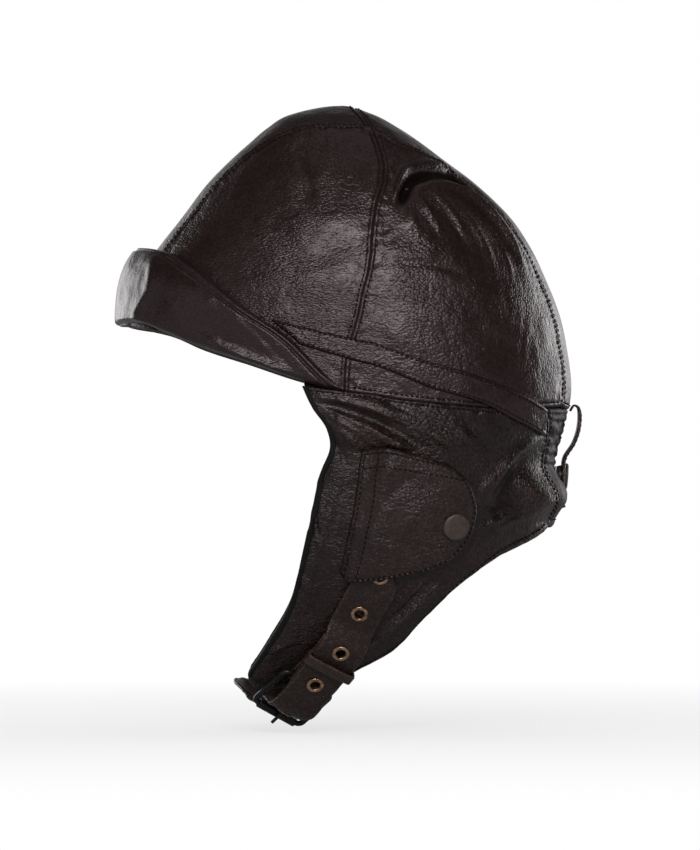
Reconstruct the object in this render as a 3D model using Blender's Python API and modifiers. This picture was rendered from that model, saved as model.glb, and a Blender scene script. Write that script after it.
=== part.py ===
"""Leather aviator cap with ear covers, goggle tab and a buckled chin strap.

Metres, +Z up. The face looks along -X and the wearer's left side is -Y.
The origin is the inside of the crown's top, where the head bears.
"""
import math

import bmesh
import bpy
import numpy as np
from mathutils import Matrix, Vector

# Head form: the room that the cap keeps for a head.
HEAD_REACH = 0.100
FORM_HEIGHT = 0.281
HALF_WIDTH = 0.078
SECTION_POWER = 2.5

# Layers, from the head outward.
LINING_THICK = 0.0010
LINING_GAP = 0.0013
LEATHER_THICK = 0.0012
LAYER_GAP = 0.0003
TRIM_GAP = 0.0006
TRIM_THICK = 0.0012
SEAM_GAP = 0.0006

# Crown strip, brow band, binding and goggle band.
STRIP_WIDTH = 0.064
BROW_THICK = 0.0022
BROW_CLEAR = 0.0008
BROW_BULGE = 0.0035
BINDING_WIDTH = 0.0019
HEM_SETBACK = 0.0040

# Ear covers and their openings.
COVER_THICK = 0.0018
COVER_RAMP = 0.0085
HINGE_CLEAR = 0.0012
PORT_LENGTH = 0.034
PORT_WIDTH = 0.024

# Snap fastener, 12.5 mm line.
SNAP_RADIUS = 0.0062
SNAP_DOME = 0.0014
SNAP_BARREL = 0.0016
SOCKET_RADIUS = 0.0050
SOCKET_HEIGHT = 0.0022
SOCKET_BORE = 0.0034
STUD_RADIUS = 0.0046
STUD_FLANGE = 0.0006
STUD_HEAD = 0.0022
STUD_HEIGHT = 0.0013
POST_RADIUS = 0.0040
POST_FLANGE = 0.0006
HOLE_CLEAR = 0.0004

# Goggle strap tab at the nape.
TAB_THICK = 0.0016
TAB_WIDTH = 0.020
TAB_TAIL = 0.008

# Chin strap, eyelets, keeper and chape.
STRAP_WIDTH = 0.0215
STRAP_THICK = 0.0018
STRAP_TAIL = 0.064
EYELET_RADIUS = 0.0040
EYELET_BORE = 0.0023
EYELET_FLANGE = 0.0005
EYELET_WALL = 0.0004
EYELET_PITCH = 0.0210
EYELET_COUNT = 5
CHAPE_THICK = 0.0012
CHAPE_LENGTH = 0.0255
CHAPE_WIDTH = 0.020
KEEPER_WIDTH = 0.0050
KEEPER_THICK = 0.0012
KEEPER_PLACE = 0.0150

# Roller buckle.
BUCKLE_INNER = 0.0240
BUCKLE_LENGTH = 0.0235
BAR_RADIUS = 0.0013
ROLLER_RADIUS = 0.0022
PRONG_RADIUS = 0.0008
PRONG_OVERRUN = 0.0035
PRONG_SLOT = 0.0028
RUN_CLEAR = 0.0003
ROLLER_CLEAR = 0.0012
STRAP_BULGE = 0.0030

# Shares of chin drop, head reach three times and half width, from the top of the head down:
# drop, front, widest place, rear, half width.
FORM_SHARES = (
    (0.0000, -0.030, -0.030, -0.030, 0.000),
    (0.0142, -0.245, -0.020, 0.115, 0.285),
    (0.0356, -0.345, -0.010, 0.225, 0.462),
    (0.0569, -0.415, 0.000, 0.315, 0.577),
    (0.0890, -0.515, 0.020, 0.435, 0.692),
    (0.1280, -0.620, 0.040, 0.580, 0.788),
    (0.1780, -0.725, 0.060, 0.725, 0.872),
    (0.2280, -0.835, 0.080, 0.820, 0.930),
    (0.2810, -0.940, 0.090, 0.890, 0.968),
    (0.3310, -0.998, 0.100, 0.945, 0.987),
    (0.3770, -1.012, 0.100, 0.975, 0.997),
    (0.4480, -1.010, 0.100, 1.000, 1.000),
    (0.5050, -1.000, 0.100, 0.970, 0.992),
    (0.5690, -0.990, 0.090, 0.925, 0.967),
    (0.6330, -0.970, 0.080, 0.910, 0.933),
    (0.6830, -0.920, 0.060, 0.895, 0.900),
    (0.7470, -0.800, 0.020, 0.800, 0.825),
    (0.8190, -0.720, -0.060, 0.610, 0.697),
    (0.8750, -0.700, -0.160, 0.450, 0.563),
    (0.9290, -0.690, -0.300, 0.280, 0.397),
    (0.9720, -0.640, -0.360, 0.060, 0.205),
    (1.0000, -0.380, -0.380, -0.380, 0.000),
)

# Outlines seen from the left, as shares of head reach and chin drop.
BROW_LOW_SHARES = ((-0.948, 0.345), (-0.828, 0.361), (-0.672, 0.384), (-0.446, 0.410),
                   (-0.253, 0.433), (-0.005, 0.455))
BROW_TOP_SHARES = ((-0.810, 0.230), (-0.713, 0.250), (-0.598, 0.281), (-0.483, 0.314),
                   (-0.331, 0.351), (-0.179, 0.397), (-0.028, 0.449))
BROW_FRONT_LOW_SHARE = 0.349
BROW_FRONT_TOP_SHARE = 0.226
SIDE_SEAM_SHARES = ((0.166, 0.081), (0.166, 0.119), (0.138, 0.153), (0.120, 0.197),
                    (0.106, 0.250), (0.078, 0.291), (0.037, 0.355), (0.000, 0.405), (-0.008, 0.455))
CROWN_SEAM_SHARES = ((-0.008, 0.455), (0.248, 0.469), (0.570, 0.480), (0.780, 0.483), (0.920, 0.484))
GOGGLE_TOP_SHARES = ((-0.336, 0.341), (0.032, 0.373), (0.304, 0.402), (0.603, 0.433),
                     (0.782, 0.458), (0.915, 0.485))
GOGGLE_LOW_SHARES = ((-0.205, 0.380), (0.005, 0.402), (0.202, 0.423), (0.400, 0.451),
                     (0.603, 0.472), (0.782, 0.504), (0.905, 0.528))
FLAP_FRONT_SHARES = ((-0.184, 0.448), (-0.133, 0.486), (-0.074, 0.517), (-0.060, 0.551),
                     (-0.110, 0.595), (-0.138, 0.643), (-0.166, 0.690), (-0.202, 0.746),
                     (-0.248, 0.803), (-0.294, 0.836), (-0.373, 0.880), (-0.446, 0.918))
FLAP_REAR_SHARES = ((0.920, 0.485), (0.922, 0.518), (0.905, 0.559), (0.890, 0.600),
                    (0.900, 0.641), (0.905, 0.675))
FLAP_HEM_SHARES = ((0.023, 0.914), (0.207, 0.877), (0.336, 0.829), (0.492, 0.775), (0.667, 0.729),
                   (0.800, 0.703), (0.905, 0.675))
COVER_TOP_SHARES = ((0.074, 0.553), (0.175, 0.548), (0.304, 0.559), (0.409, 0.569), (0.488, 0.582))
COVER_FREE_SHARES = ((0.488, 0.582), (0.538, 0.598), (0.570, 0.621), (0.584, 0.646),
                     (0.566, 0.679), (0.529, 0.702), (0.460, 0.726))
COVER_LOW_SHARES = ((-0.023, 0.751), (0.028, 0.761), (0.120, 0.759), (0.248, 0.751),
                    (0.354, 0.743), (0.460, 0.726))
SNAP_SHARE = (0.490, 0.672)
PORT_SHARE = (0.270, 0.630)
STRAP_LINE_SHARES = ((0.212, 0.706), (0.143, 0.750), (0.055, 0.806), (-0.037, 0.860), (-0.180, 0.914),
                     (-0.313, 0.966))
BUCKLE_PLACE_SHARE = (-0.175, 0.928)
NAPE_SNAP_SHARE = 0.592
FLAP_END_SHARE = 0.3
BULGE_START_SHARE = 0.15
BULGE_SPAN_SHARE = 0.75
CROSS_SEAM_SHARE = 0.028
CROSS_SEAM_LEAN_SHARE = 0.100
FORM_MIDDLE_SHARE = 0.338
TAB_FLAT_SHARE = 1.35

# The strap's tail and its lift over the chape, as shares of the tail's length and of that lift.
TAIL_RISE_SHARES = ((1.00, 0), (0.84, 0), (0.70, 0), (0.56, 0), (0.42, 1), (0.32, 1), (0.22, 1), (0.14, 1.14))

# The strap in the buckle, as shares of the buckle's length and of the bulge or of the height it dives.
BULGE_SHARES = ((0, 0), (0.28, 0.75), (0.50, 1), (0.66, 0.45))
DIVE_SHARES = ((0.75, 0.55), (0.82, 0), (0.90, -0.8), (1.00, -1), (1.18, -1.1))
FAR_END_SHARES = (0.02, -0.12, -0.26)
PRONG_MEET_SHARE = 0.6
CHAPE_LOW_SHARES = (1.0, 0.75, 0.5, 0.3)
CHAPE_HIGH_SHARES = (0.4, 0.6, 0.8, 1.0)

# Under the chin: shares of head reach, half width and chin drop, left to right.
CHIN_ROUTE_SHARES = ((-0.392, -0.175, 0.958), (-0.425, 0.000, 0.946), (-0.405, 0.180, 0.946),
                     (-0.340, 0.330, 0.949), (-0.258, 0.445, 0.944))

# The tab's loop seen from the left, as shares of head reach and chin drop.
TAB_LOOP_SHARES = ((1.030, 0.487), (1.048, 0.478), (1.068, 0.482), (1.074, 0.498), (1.066, 0.520),
                   (1.044, 0.541))

LEFT = 1
RIGHT = -1
LEVEL_STEPS = 40
EDGE_POINTS = 24
BISECTIONS = 30
PANEL_TIP_SHARE = 0.85
RING_POWER = 1.35
BULGE_FADE = 0.7
LINING_RAISE = 0.06
STRAP_STEPS = 60
HOLE_SIDES = 12
LINE_STEPS = 60
SEEK_STEPS = 800
TAB_STEPS = 22
PRONG_STEPS = 8
PRONG_START_DEG = -50
PRONG_WRAP_DEG = 220

LEATHER_LIFT = LINING_THICK + LINING_GAP + LEATHER_THICK
LINING_LIFT = LINING_THICK
GOGGLE_LIFT = LEATHER_LIFT + TRIM_GAP + TRIM_THICK
COVER_LIFT = LEATHER_LIFT + LAYER_GAP + STUD_FLANGE + LAYER_GAP + SOCKET_HEIGHT + LAYER_GAP


def clear_scene():
    """Removes what a new file holds."""
    for item in list(bpy.data.objects):
        bpy.data.objects.remove(item, do_unlink=True)


def make_collection(name):
    """Adds a collection to the scene."""
    collection = bpy.data.collections.new(name)
    bpy.context.scene.collection.children.link(collection)
    return collection


clear_scene()
PARTS = make_collection("leather_aviator_cap")
CUTTERS = make_collection("cutters")

LEATHER = ((0.030, 0.019, 0.016), 0.42, 0.0)
BROW_LEATHER = ((0.022, 0.016, 0.015), 0.36, 0.0)
BLACK_TRIM = ((0.010, 0.010, 0.011), 0.45, 0.0)
LINING = ((0.060, 0.038, 0.028), 0.85, 0.0)
BRASS = ((0.62, 0.42, 0.20), 0.30, 1.0)
SNAP_METAL = ((0.19, 0.14, 0.12), 0.45, 0.8)
BUCKLE_METAL = ((0.030, 0.030, 0.034), 0.30, 0.9)


def finish(item, look):
    """Gives an object its own material and its place in the collection."""
    color, roughness, metallic = look
    material = bpy.data.materials.new(item.name)
    material.use_nodes = True
    shader = material.node_tree.nodes["Principled BSDF"]
    shader.inputs["Base Color"].default_value = (*color, 1.0)
    shader.inputs["Roughness"].default_value = roughness
    shader.inputs["Metallic"].default_value = metallic
    item.data.materials.clear()
    item.data.materials.append(material)
    PARTS.objects.link(item)
    return item


def spline(points, share, spaced_by=None):
    """Point at a share of the way along a smooth curve, spaced by its first values or by all."""
    places = np.array(points, float)
    steps = np.linalg.norm(np.diff(places[:, :spaced_by], axis=0), axis=1)
    knots = np.concatenate(([0.0], np.cumsum(steps))) / steps.sum()
    share = min(max(share, 0.0), 1.0)
    last = len(places) - 1
    first = min(int(np.searchsorted(knots, share, side="right")) - 1, last - 1)
    span = knots[first + 1] - knots[first]
    way = (share - knots[first]) / span

    def slope(place):
        low = max(place - 1, 0)
        high = min(place + 1, last)
        return (places[high] - places[low]) / (knots[high] - knots[low]) * span

    rise = way * way * (3 - 2 * way)
    leave = way * (1 - way) ** 2
    arrive = way * way * (way - 1)
    level = places[first] * (1 - rise) + places[first + 1] * rise
    return level + slope(first) * leave + slope(first + 1) * arrive


def make_form_rows():
    """Sections of the head form at even steps of level, closed smoothly at both ends."""
    rows = np.array(FORM_SHARES)
    swap = np.array((1, -1, 0, -1, -1))

    def ghost(row, pole):
        mirrored = row * swap
        mirrored[1], mirrored[3] = 2 * pole[2] - row[3], 2 * pole[2] - row[1]
        mirrored[1], mirrored[3] = mirrored[3], mirrored[1]
        mirrored[2] = 2 * pole[2] - row[2]
        return mirrored

    rows = np.vstack((ghost(rows[1], rows[0]), rows, ghost(rows[-2], rows[-1])))
    dense = []
    for index in range(1, len(rows) - 2):
        slope_in = (rows[index + 1] - rows[index - 1]) / 2
        slope_out = (rows[index + 2] - rows[index]) / 2
        for step in range(LEVEL_STEPS):
            way = step / LEVEL_STEPS
            rise = way * way * (3 - 2 * way)
            level = rows[index] * (1 - rise) + rows[index + 1] * rise
            dense.append(level + slope_in * way * (1 - way) ** 2 + slope_out * way * way * (way - 1))
    dense.append(rows[-2])
    sizes = np.array((FORM_HEIGHT, HEAD_REACH, HEAD_REACH, HEAD_REACH, HALF_WIDTH))
    return np.array(dense) * sizes


FORM_ROWS = make_form_rows()
FORM_LEVELS = np.arange(len(FORM_ROWS)) / LEVEL_STEPS


def section_at(drop):
    """Front, widest place, rear and half width of the form at a drop below its top."""
    return [float(np.interp(drop, FORM_ROWS[:, 0], FORM_ROWS[:, column])) for column in range(1, 5)]


def outside(point):
    """Above zero outside the form, and below zero inside it."""
    drop = -point.z
    if drop <= 0 or drop >= FORM_HEIGHT:
        return 1.0
    front, widest, rear, half = section_at(drop)
    reach = rear - widest if point.x > widest else widest - front
    along = abs(point.x - widest) / max(reach, LAYER_GAP)
    across = abs(point.y) / max(half, LAYER_GAP)
    return along ** SECTION_POWER + across ** SECTION_POWER - 1


def normal_at(point):
    """Direction out of the form at a point on it."""
    step = LAYER_GAP
    if -point.z < 2 * step:
        return Vector((0, 0, 1))
    slopes = []
    for axis in range(3):
        nudge = Vector((0, 0, 0))
        nudge[axis] = step
        slopes.append(outside(point + nudge) - outside(point - nudge))
    return Vector(slopes).normalized()


def form_point(turn, level, hand):
    """Point of the form: turn runs from the rear over one side to the front."""
    row = [float(np.interp(level, FORM_LEVELS, FORM_ROWS[:, column])) for column in range(5)]
    drop, front, widest, rear, half = row
    forward = math.cos(turn)
    reach = rear - widest if forward > 0 else widest - front
    along = math.copysign(abs(forward) ** (2 / SECTION_POWER), forward) * reach
    across = abs(math.sin(turn)) ** (2 / SECTION_POWER) * half
    return Vector((widest + along, -hand * across, -drop))


def skin(turn, level, hand, lift):
    """Point at a lift above the form."""
    point = form_point(turn, level, hand)
    return point + normal_at(point) * lift


def form_place(x, z):
    """Turn and level of the form's point at a side view's x and z."""
    drop = -z
    level = float(np.interp(drop, FORM_ROWS[:, 0], FORM_LEVELS))
    front, widest, rear, half = section_at(drop)
    reach = rear - widest if x > widest else widest - front
    along = min(abs(x - widest) / reach, 1.0) ** (SECTION_POWER / 2)
    return math.acos(math.copysign(along, x - widest)), level


def place_under(x, z, lift):
    """Turn and level whose lifted point shows at a side view's x and z."""
    base_x, base_z = x, z
    for _ in range(4):
        turn, level = form_place(base_x, base_z)
        point = skin(turn, level, LEFT, lift)
        base_x += x - point.x
        base_z += z - point.z
    return form_place(base_x, base_z)


def places(shares, lift=LEATHER_LIFT):
    """Turns and levels of an outline that is drawn from the left."""
    return [place_under(reach * HEAD_REACH, -drop * FORM_HEIGHT, lift) for reach, drop in shares]


def level_at(drop_share):
    """Level of the form at a share of the chin drop."""
    return float(np.interp(drop_share * FORM_HEIGHT, FORM_ROWS[:, 0], FORM_LEVELS))


def patch_rows(top, low, front, rear, columns, rows):
    """Grid of turns and levels inside four boundary curves."""
    corners = (front(0.0), rear(0.0), front(1.0), rear(1.0))
    grid = []
    for row in range(rows + 1):
        down = row / rows
        line = []
        for column in range(columns + 1):
            across = column / columns
            ruled = top(across) * (1 - down) + low(across) * down
            sides = front(down) * (1 - across) + rear(down) * across
            upper = corners[0] * (1 - across) + corners[1] * across
            lower = corners[2] * (1 - across) + corners[3] * across
            line.append(ruled + sides - upper * (1 - down) - lower * down)
        grid.append(line)
    return grid


def inset_grid(points, gaps):
    """Draws a grid of points in from its edges: first row, last row, first and last column."""
    first_row, last_row, first_column, last_column = gaps
    result = [[point.copy() for point in line] for line in points]
    for line, shifted in zip(points, result):
        if first_column:
            shifted[0] = line[0] + (line[1] - line[0]).normalized() * first_column
        if last_column:
            shifted[-1] = line[-1] + (line[-2] - line[-1]).normalized() * last_column
    for column in range(len(points[0])):
        if first_row:
            result[0][column] += (points[1][column] - points[0][column]).normalized() * first_row
        if last_row:
            result[-1][column] += (points[-2][column] - points[-1][column]).normalized() * last_row
    return result


def sheet_mesh(name, points, outward):
    """A grid primitive laid on the points, facing outward from a point."""
    rows, columns = len(points) - 1, len(points[0]) - 1
    sheet = bmesh.new()
    bmesh.ops.create_grid(sheet, x_segments=columns, y_segments=rows, size=1.0)
    for vertex in sheet.verts:
        column = round((vertex.co.x + 1) / 2 * columns)
        row = round((vertex.co.y + 1) / 2 * rows)
        vertex.co = points[row][column]
    bmesh.ops.remove_doubles(sheet, verts=sheet.verts, dist=LAYER_GAP / 3)
    sheet.normal_update()
    away = sum((face.normal.dot(face.calc_center_median() - outward) for face in sheet.faces))
    if away < 0:
        bmesh.ops.reverse_faces(sheet, faces=sheet.faces)
    mesh = bpy.data.meshes.new(name)
    sheet.to_mesh(mesh)
    sheet.free()
    mesh.shade_smooth()
    return mesh


def shell(name, points, thick, look, offset=-1.0, outward=None):
    """A sheet with a thickness, whose drawn face is the outer one."""
    heart = outward or Vector((0, 0, -FORM_HEIGHT * FORM_MIDDLE_SHARE))
    item = bpy.data.objects.new(name, sheet_mesh(name, points, heart))
    solid = item.modifiers.new("thickness", "SOLIDIFY")
    solid.thickness = thick
    solid.offset = offset
    solid.use_even_offset = True
    return finish(item, look)


def lifted(grid, hand, lift):
    """Points of a grid of turns and levels at a lift, or at a lift for each place."""
    rows = []
    for row, line in enumerate(grid):
        points = []
        for column, (turn, level) in enumerate(line):
            height = lift(row / (len(grid) - 1), column / (len(line) - 1)) if callable(lift) else lift
            points.append(skin(turn, level, hand, height))
        rows.append(points)
    return rows


def curve_through(shares, lift=LEATHER_LIFT):
    """A boundary curve of turns and levels through an outline drawn from the left."""
    through = places(shares, lift)
    return lambda share: spline(through, share)


def hang(name, place, items, parent=None):
    """Puts an empty on a joint's axis and hangs the moving pieces from it where they are."""
    axis = bpy.data.objects.new(name, None)
    axis.location = place
    PARTS.objects.link(axis)
    if parent:
        axis.parent = parent
        axis.matrix_parent_inverse = Matrix.Translation(parent.location).inverted()
    for item in items:
        item.parent = axis
        item.matrix_parent_inverse = Matrix.Translation(place).inverted()
    return axis


def cut(item, cutter):
    """Takes a cutter out of an object."""
    trim = item.modifiers.new("cut", "BOOLEAN")
    trim.operation = "DIFFERENCE"
    trim.solver = "EXACT"
    trim.object = cutter


def make_cutter(name, radius, depth, frame, width_share=1.0):
    """A round or oval cutter along a frame's local Z."""
    tool = bmesh.new()
    bmesh.ops.create_cone(tool, cap_ends=True, segments=HOLE_SIDES, radius1=radius, radius2=radius,
                          depth=depth)
    bmesh.ops.scale(tool, vec=(width_share, 1.0, 1.0), verts=tool.verts)
    bmesh.ops.transform(tool, matrix=frame, verts=tool.verts)
    mesh = bpy.data.meshes.new(name)
    tool.to_mesh(mesh)
    tool.free()
    item = bpy.data.objects.new(name, mesh)
    item.hide_render = True
    item.display_type = "WIRE"
    CUTTERS.objects.link(item)
    return item


def frame_on(point, out, up=Vector((0, 0, 1))):
    """A frame whose Z points out and whose Y leans upward."""
    side = up.cross(out).normalized()
    lean = out.cross(side).normalized()
    turn = Matrix((side, lean, out)).transposed().to_4x4()
    return Matrix.Translation(point) @ turn


def turned(name, profile, frame, look, sides=16):
    """A turned piece: its profile runs down the outer side and is closed."""
    outline = bmesh.new()
    corners = [outline.verts.new((radius, 0, height)) for radius, height in profile]
    for first, second in zip(corners, corners[1:]):
        outline.edges.new((first, second))
    if profile[0][0] > 0:
        outline.edges.new((corners[-1], corners[0]))
    mesh = bpy.data.meshes.new(name)
    outline.to_mesh(mesh)
    outline.free()
    item = bpy.data.objects.new(name, mesh)
    screw = item.modifiers.new("turn", "SCREW")
    screw.steps = sides
    screw.render_steps = sides
    screw.use_merge_vertices = True
    screw.merge_threshold = 0.00001
    item.matrix_world = frame
    return finish(item, look)


def strip_base(angle, across):
    """Point of the form on a ray in the plane at a distance across, from the form's middle height."""
    start = Vector((0, across, -FORM_HEIGHT * FORM_MIDDLE_SHARE))
    ray = Vector((math.cos(angle), 0, math.sin(angle)))
    low, high = 0.0, 2 * HEAD_REACH
    for _ in range(BISECTIONS):
        middle = (low + high) / 2
        if outside(start + ray * middle) < 0:
            low = middle
        else:
            high = middle
    return start + ray * low


def strip_edge(first, last):
    """Turns and levels along the centre strip's edge, between two angles."""
    edge = []
    for angle in np.linspace(first, last, EDGE_POINTS):
        point = strip_base(angle, STRIP_WIDTH / 2)
        edge.append(form_place(point.x, point.z))
    return edge


def crown_panels():
    """The two centre strips and four side panels of the crown."""
    half = STRIP_WIDTH / 2
    middle = FORM_HEIGHT * FORM_MIDDLE_SHARE

    def seam(across):
        lean = CROSS_SEAM_SHARE + CROSS_SEAM_LEAN_SHARE * (across / half) ** 2
        return math.atan2(middle, lean * HEAD_REACH)

    brow = math.pi + math.asin((BROW_FRONT_LOW_SHARE - FORM_MIDDLE_SHARE) * FORM_HEIGHT / HEAD_REACH)
    nape = -math.atan((CROWN_SEAM_SHARES[-1][1] - FORM_MIDDLE_SHARE) * FORM_HEIGHT / HEAD_REACH)
    gap = SEAM_GAP / 2
    columns = 6
    for name, end, rows, gaps in (("front_crown_strip", brow, 12, (gap, 0, gap, gap)),
                                  ("rear_crown_strip", nape, 14, (gap, gap, gap, gap))):
        points = []
        for row in range(rows + 1):
            line = []
            for column in range(columns + 1):
                across = half * (2 * column / columns - 1)
                point = strip_base(seam(across) + (end - seam(across)) * row / rows, across)
                line.append(point + normal_at(point) * LEATHER_LIFT)
            points.append(line)
        shell(name, inset_grid(points, gaps), LEATHER_THICK, LEATHER)

    front_edge = strip_edge(seam(half), brow)
    rear_edge = strip_edge(seam(half), nape)
    apex = front_edge[0]
    seam_line = [apex] + places(SIDE_SEAM_SHARES)
    brow_low = [front_edge[-1]] + places(BROW_LOW_SHARES[1:])
    crown_low = places(CROWN_SEAM_SHARES[:-1]) + [rear_edge[-1]]
    columns, rows = 8, 11
    for hand, side in ((LEFT, "left"), (RIGHT, "right")):
        for name, first, last, low in (("front", front_edge, seam_line, brow_low),
                                       ("rear", seam_line, rear_edge, crown_low)):
            grid = patch_rows(lambda t: np.array(apex), lambda t: spline(low, t), lambda t: spline(first, t),
                              lambda t: spline(last, t), columns, rows)
            points = inset_grid(lifted(grid[1:], hand, LEATHER_LIFT), (0, gap, gap, gap))
            tip = points[0][columns // 2].lerp(skin(*apex, hand, LEATHER_LIFT), PANEL_TIP_SHARE)
            points.insert(0, [tip] * (columns + 1))
            shell(f"{side}_{name}_crown_panel", points, LEATHER_THICK, LEATHER)


def crown_lining():
    """One domed lining from the top of the crown to its lower seams."""
    rings, sides = 10, 32
    low_curve = places(BROW_LOW_SHARES[1:]) + places(CROWN_SEAM_SHARES[1:-1])
    turns = [turn for turn, _ in low_curve]
    levels = [level for _, level in low_curve]
    turns = [math.pi] + turns + [0.0]
    levels = [level_at(BROW_FRONT_LOW_SHARE)] + levels + [level_at(CROWN_SEAM_SHARES[-1][1])]
    heart = Vector((0, 0, -FORM_HEIGHT * FORM_MIDDLE_SHARE))
    points = []
    for ring in range(rings + 1):
        line = []
        for side in range(sides + 1):
            angle = 2 * math.pi * side / sides
            turn = angle if angle <= math.pi else 2 * math.pi - angle
            hand = LEFT if angle <= math.pi else RIGHT
            level = float(np.interp(-turn, [-value for value in turns], levels)) - LINING_RAISE
            if ring == 0:
                line.append(skin(turn, 0.0, hand, LINING_LIFT))
            else:
                line.append(skin(turn, level * (ring / rings) ** RING_POWER, hand, LINING_LIFT))
        points.append(line)
    shell("crown_lining", points, LINING_THICK, LINING, outward=heart)


def flap_grid():
    """Turns and levels of an ear flap, from its crown seam to its hem and end."""
    top = curve_through(FLAP_FRONT_SHARES[:1] + CROWN_SEAM_SHARES[:-1] + FLAP_REAR_SHARES[:1])
    hem = curve_through(FLAP_HEM_SHARES)
    end = curve_through((FLAP_FRONT_SHARES[-1], FLAP_HEM_SHARES[0]))
    front = curve_through(FLAP_FRONT_SHARES)
    rear = curve_through(FLAP_REAR_SHARES)

    def low(share):
        if share < FLAP_END_SHARE:
            return end(share / FLAP_END_SHARE)
        return hem((share - FLAP_END_SHARE) / (1 - FLAP_END_SHARE))

    return patch_rows(top, low, front, rear, 10, 13)


def snap_frames(hand):
    """Where an ear cover's snap sits: frames on the flap, with Z out of the cap."""
    turn, level = place_under(SNAP_SHARE[0] * HEAD_REACH, -SNAP_SHARE[1] * FORM_HEIGHT, COVER_LIFT)
    base = skin(turn, level, hand, 0)
    return frame_on(base, normal_at(base))


def ear_flap(side, hand):
    """An ear flap with its lining, binding and ear opening."""
    gap = SEAM_GAP / 2
    grid = flap_grid()
    outer = inset_grid(lifted(grid, hand, LEATHER_LIFT), (SEAM_GAP, 0, 0, gap))
    flap = shell(f"{side}_ear_flap", outer, LEATHER_THICK, LEATHER)
    inner = inset_grid(lifted(grid, hand, LINING_LIFT), (gap, HEM_SETBACK, 0, gap))
    lining = shell(f"{side}_flap_lining", inner, LINING_THICK, LINING)

    turn, level = place_under(PORT_SHARE[0] * HEAD_REACH, -PORT_SHARE[1] * FORM_HEIGHT, LEATHER_LIFT)
    base = skin(turn, level, hand, 0)
    port = make_cutter(f"{side}_port_cutter", PORT_LENGTH / 2, 6 * LEATHER_LIFT,
                       frame_on(base, normal_at(base)), PORT_WIDTH / PORT_LENGTH)
    for item in (flap, lining):
        cut(item, port)
    pin_hole(f"{side}_stud_cutter", snap_frames(hand), (flap, lining))

    edge = [[line[0], line[1]] for line in lifted(grid, hand, LEATHER_LIFT + LAYER_GAP)]
    strip = []
    for index, (rim, inward) in enumerate(edge):
        ahead = (rim - inward).normalized()
        strip.append([rim + ahead * LAYER_GAP, rim + ahead * (LAYER_GAP + BINDING_WIDTH)])
    shell(f"{side}_edge_binding", strip, LEATHER_LIFT + 2 * LAYER_GAP, BLACK_TRIM)


def nape_panel():
    """The gathered panel between the two flaps, with its lining."""
    gap = SEAM_GAP / 2
    edge = places(FLAP_REAR_SHARES)

    def grid_at(columns, rows):
        lines = []
        for row in range(rows + 1):
            turn, level = spline(edge, row / rows)
            lines.append([(turn, level, column / columns * 2 - 1) for column in range(columns + 1)])
        return lines

    items = []
    for name, lift, thick, look, low_gap in (
            ("nape_panel", LEATHER_LIFT, LEATHER_THICK, LEATHER, 0),
            ("nape_lining", LINING_LIFT, LINING_THICK, LINING, HEM_SETBACK)):
        points = []
        for line in grid_at(6, 6):
            points.append([skin(abs(place) * turn, level, LEFT if place < 0 else RIGHT, lift)
                           for turn, level, place in line])
        items.append(shell(name, inset_grid(points, (gap, low_gap, gap, gap)), thick, look))
    return items


def goggle_tab(layers):
    """The strap tab on the nape: sewn at its top, bulging out and closed by a snap."""
    level = level_at(NAPE_SNAP_SHARE)
    base = skin(0, level, LEFT, 0)
    frame = frame_on(base, normal_at(base))
    pin_hole("nape_stud_cutter", frame, layers)
    path = [Vector((reach * HEAD_REACH, 0, -drop * FORM_HEIGHT)) for reach, drop in TAB_LOOP_SHARES]
    flat = base + normal_at(base) * (COVER_LIFT + TAB_THICK / 2)
    down = normal_at(base).cross(Vector((0, 1, 0)))
    down = down if down.z < 0 else -down
    for distance in (-TAB_FLAT_SHARE * SNAP_RADIUS, 0, SNAP_RADIUS, SNAP_RADIUS + TAB_TAIL / 2,
                     SNAP_RADIUS + TAB_TAIL):
        path.append(flat + down * distance)
    path[-1] += normal_at(base) * TAB_THICK
    steps = [(Vector(spline(path, step / TAB_STEPS)), Vector((0, 1, 0))) for step in range(TAB_STEPS + 1)]
    tab = ribbon("goggle_tab", steps, TAB_WIDTH, TAB_THICK, LEATHER)
    snap = snap_set("nape", frame, tab, TAB_THICK)
    hang("tab_hinge", path[1], [tab] + snap)


def goggle_band(side, hand):
    """The leather strip sewn along one side for the goggle strap."""
    top = curve_through(GOGGLE_TOP_SHARES, GOGGLE_LIFT)
    low = curve_through(GOGGLE_LOW_SHARES, GOGGLE_LIFT)
    grid = [[top(column / 14) * (1 - row / 2) + low(column / 14) * (row / 2) for column in range(15)]
            for row in range(3)]
    shell(f"{side}_goggle_band", lifted(grid, hand, GOGGLE_LIFT), TRIM_THICK, LEATHER)


def brow_band():
    """The turned-up band round the brow, from temple to temple."""
    base = LEATHER_LIFT + BROW_CLEAR + BROW_THICK
    front_low = (math.pi, level_at(BROW_FRONT_LOW_SHARE))
    front_top = (math.pi, level_at(BROW_FRONT_TOP_SHARE))
    low = [front_low] + places(BROW_LOW_SHARES, base)
    top = [front_top] + places(BROW_TOP_SHARES, base)
    rows, columns = 3, 12
    grid = [[spline(low, column / columns) * (1 - row / rows) + spline(top, column / columns) * row / rows
             for column in range(columns + 1)] for row in range(rows + 1)]

    def lift(up, back):
        bulge = math.sin(math.pi * (BULGE_START_SHARE + BULGE_SPAN_SHARE * up)) * (1 - back) ** BULGE_FADE
        return base + BROW_BULGE * bulge

    left = lifted(grid, LEFT, lift)
    right = lifted(grid, RIGHT, lift)
    points = [list(reversed(after[1:])) + before for before, after in zip(left, right)]
    shell("brow_band", points, BROW_THICK, BROW_LEATHER)


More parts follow.
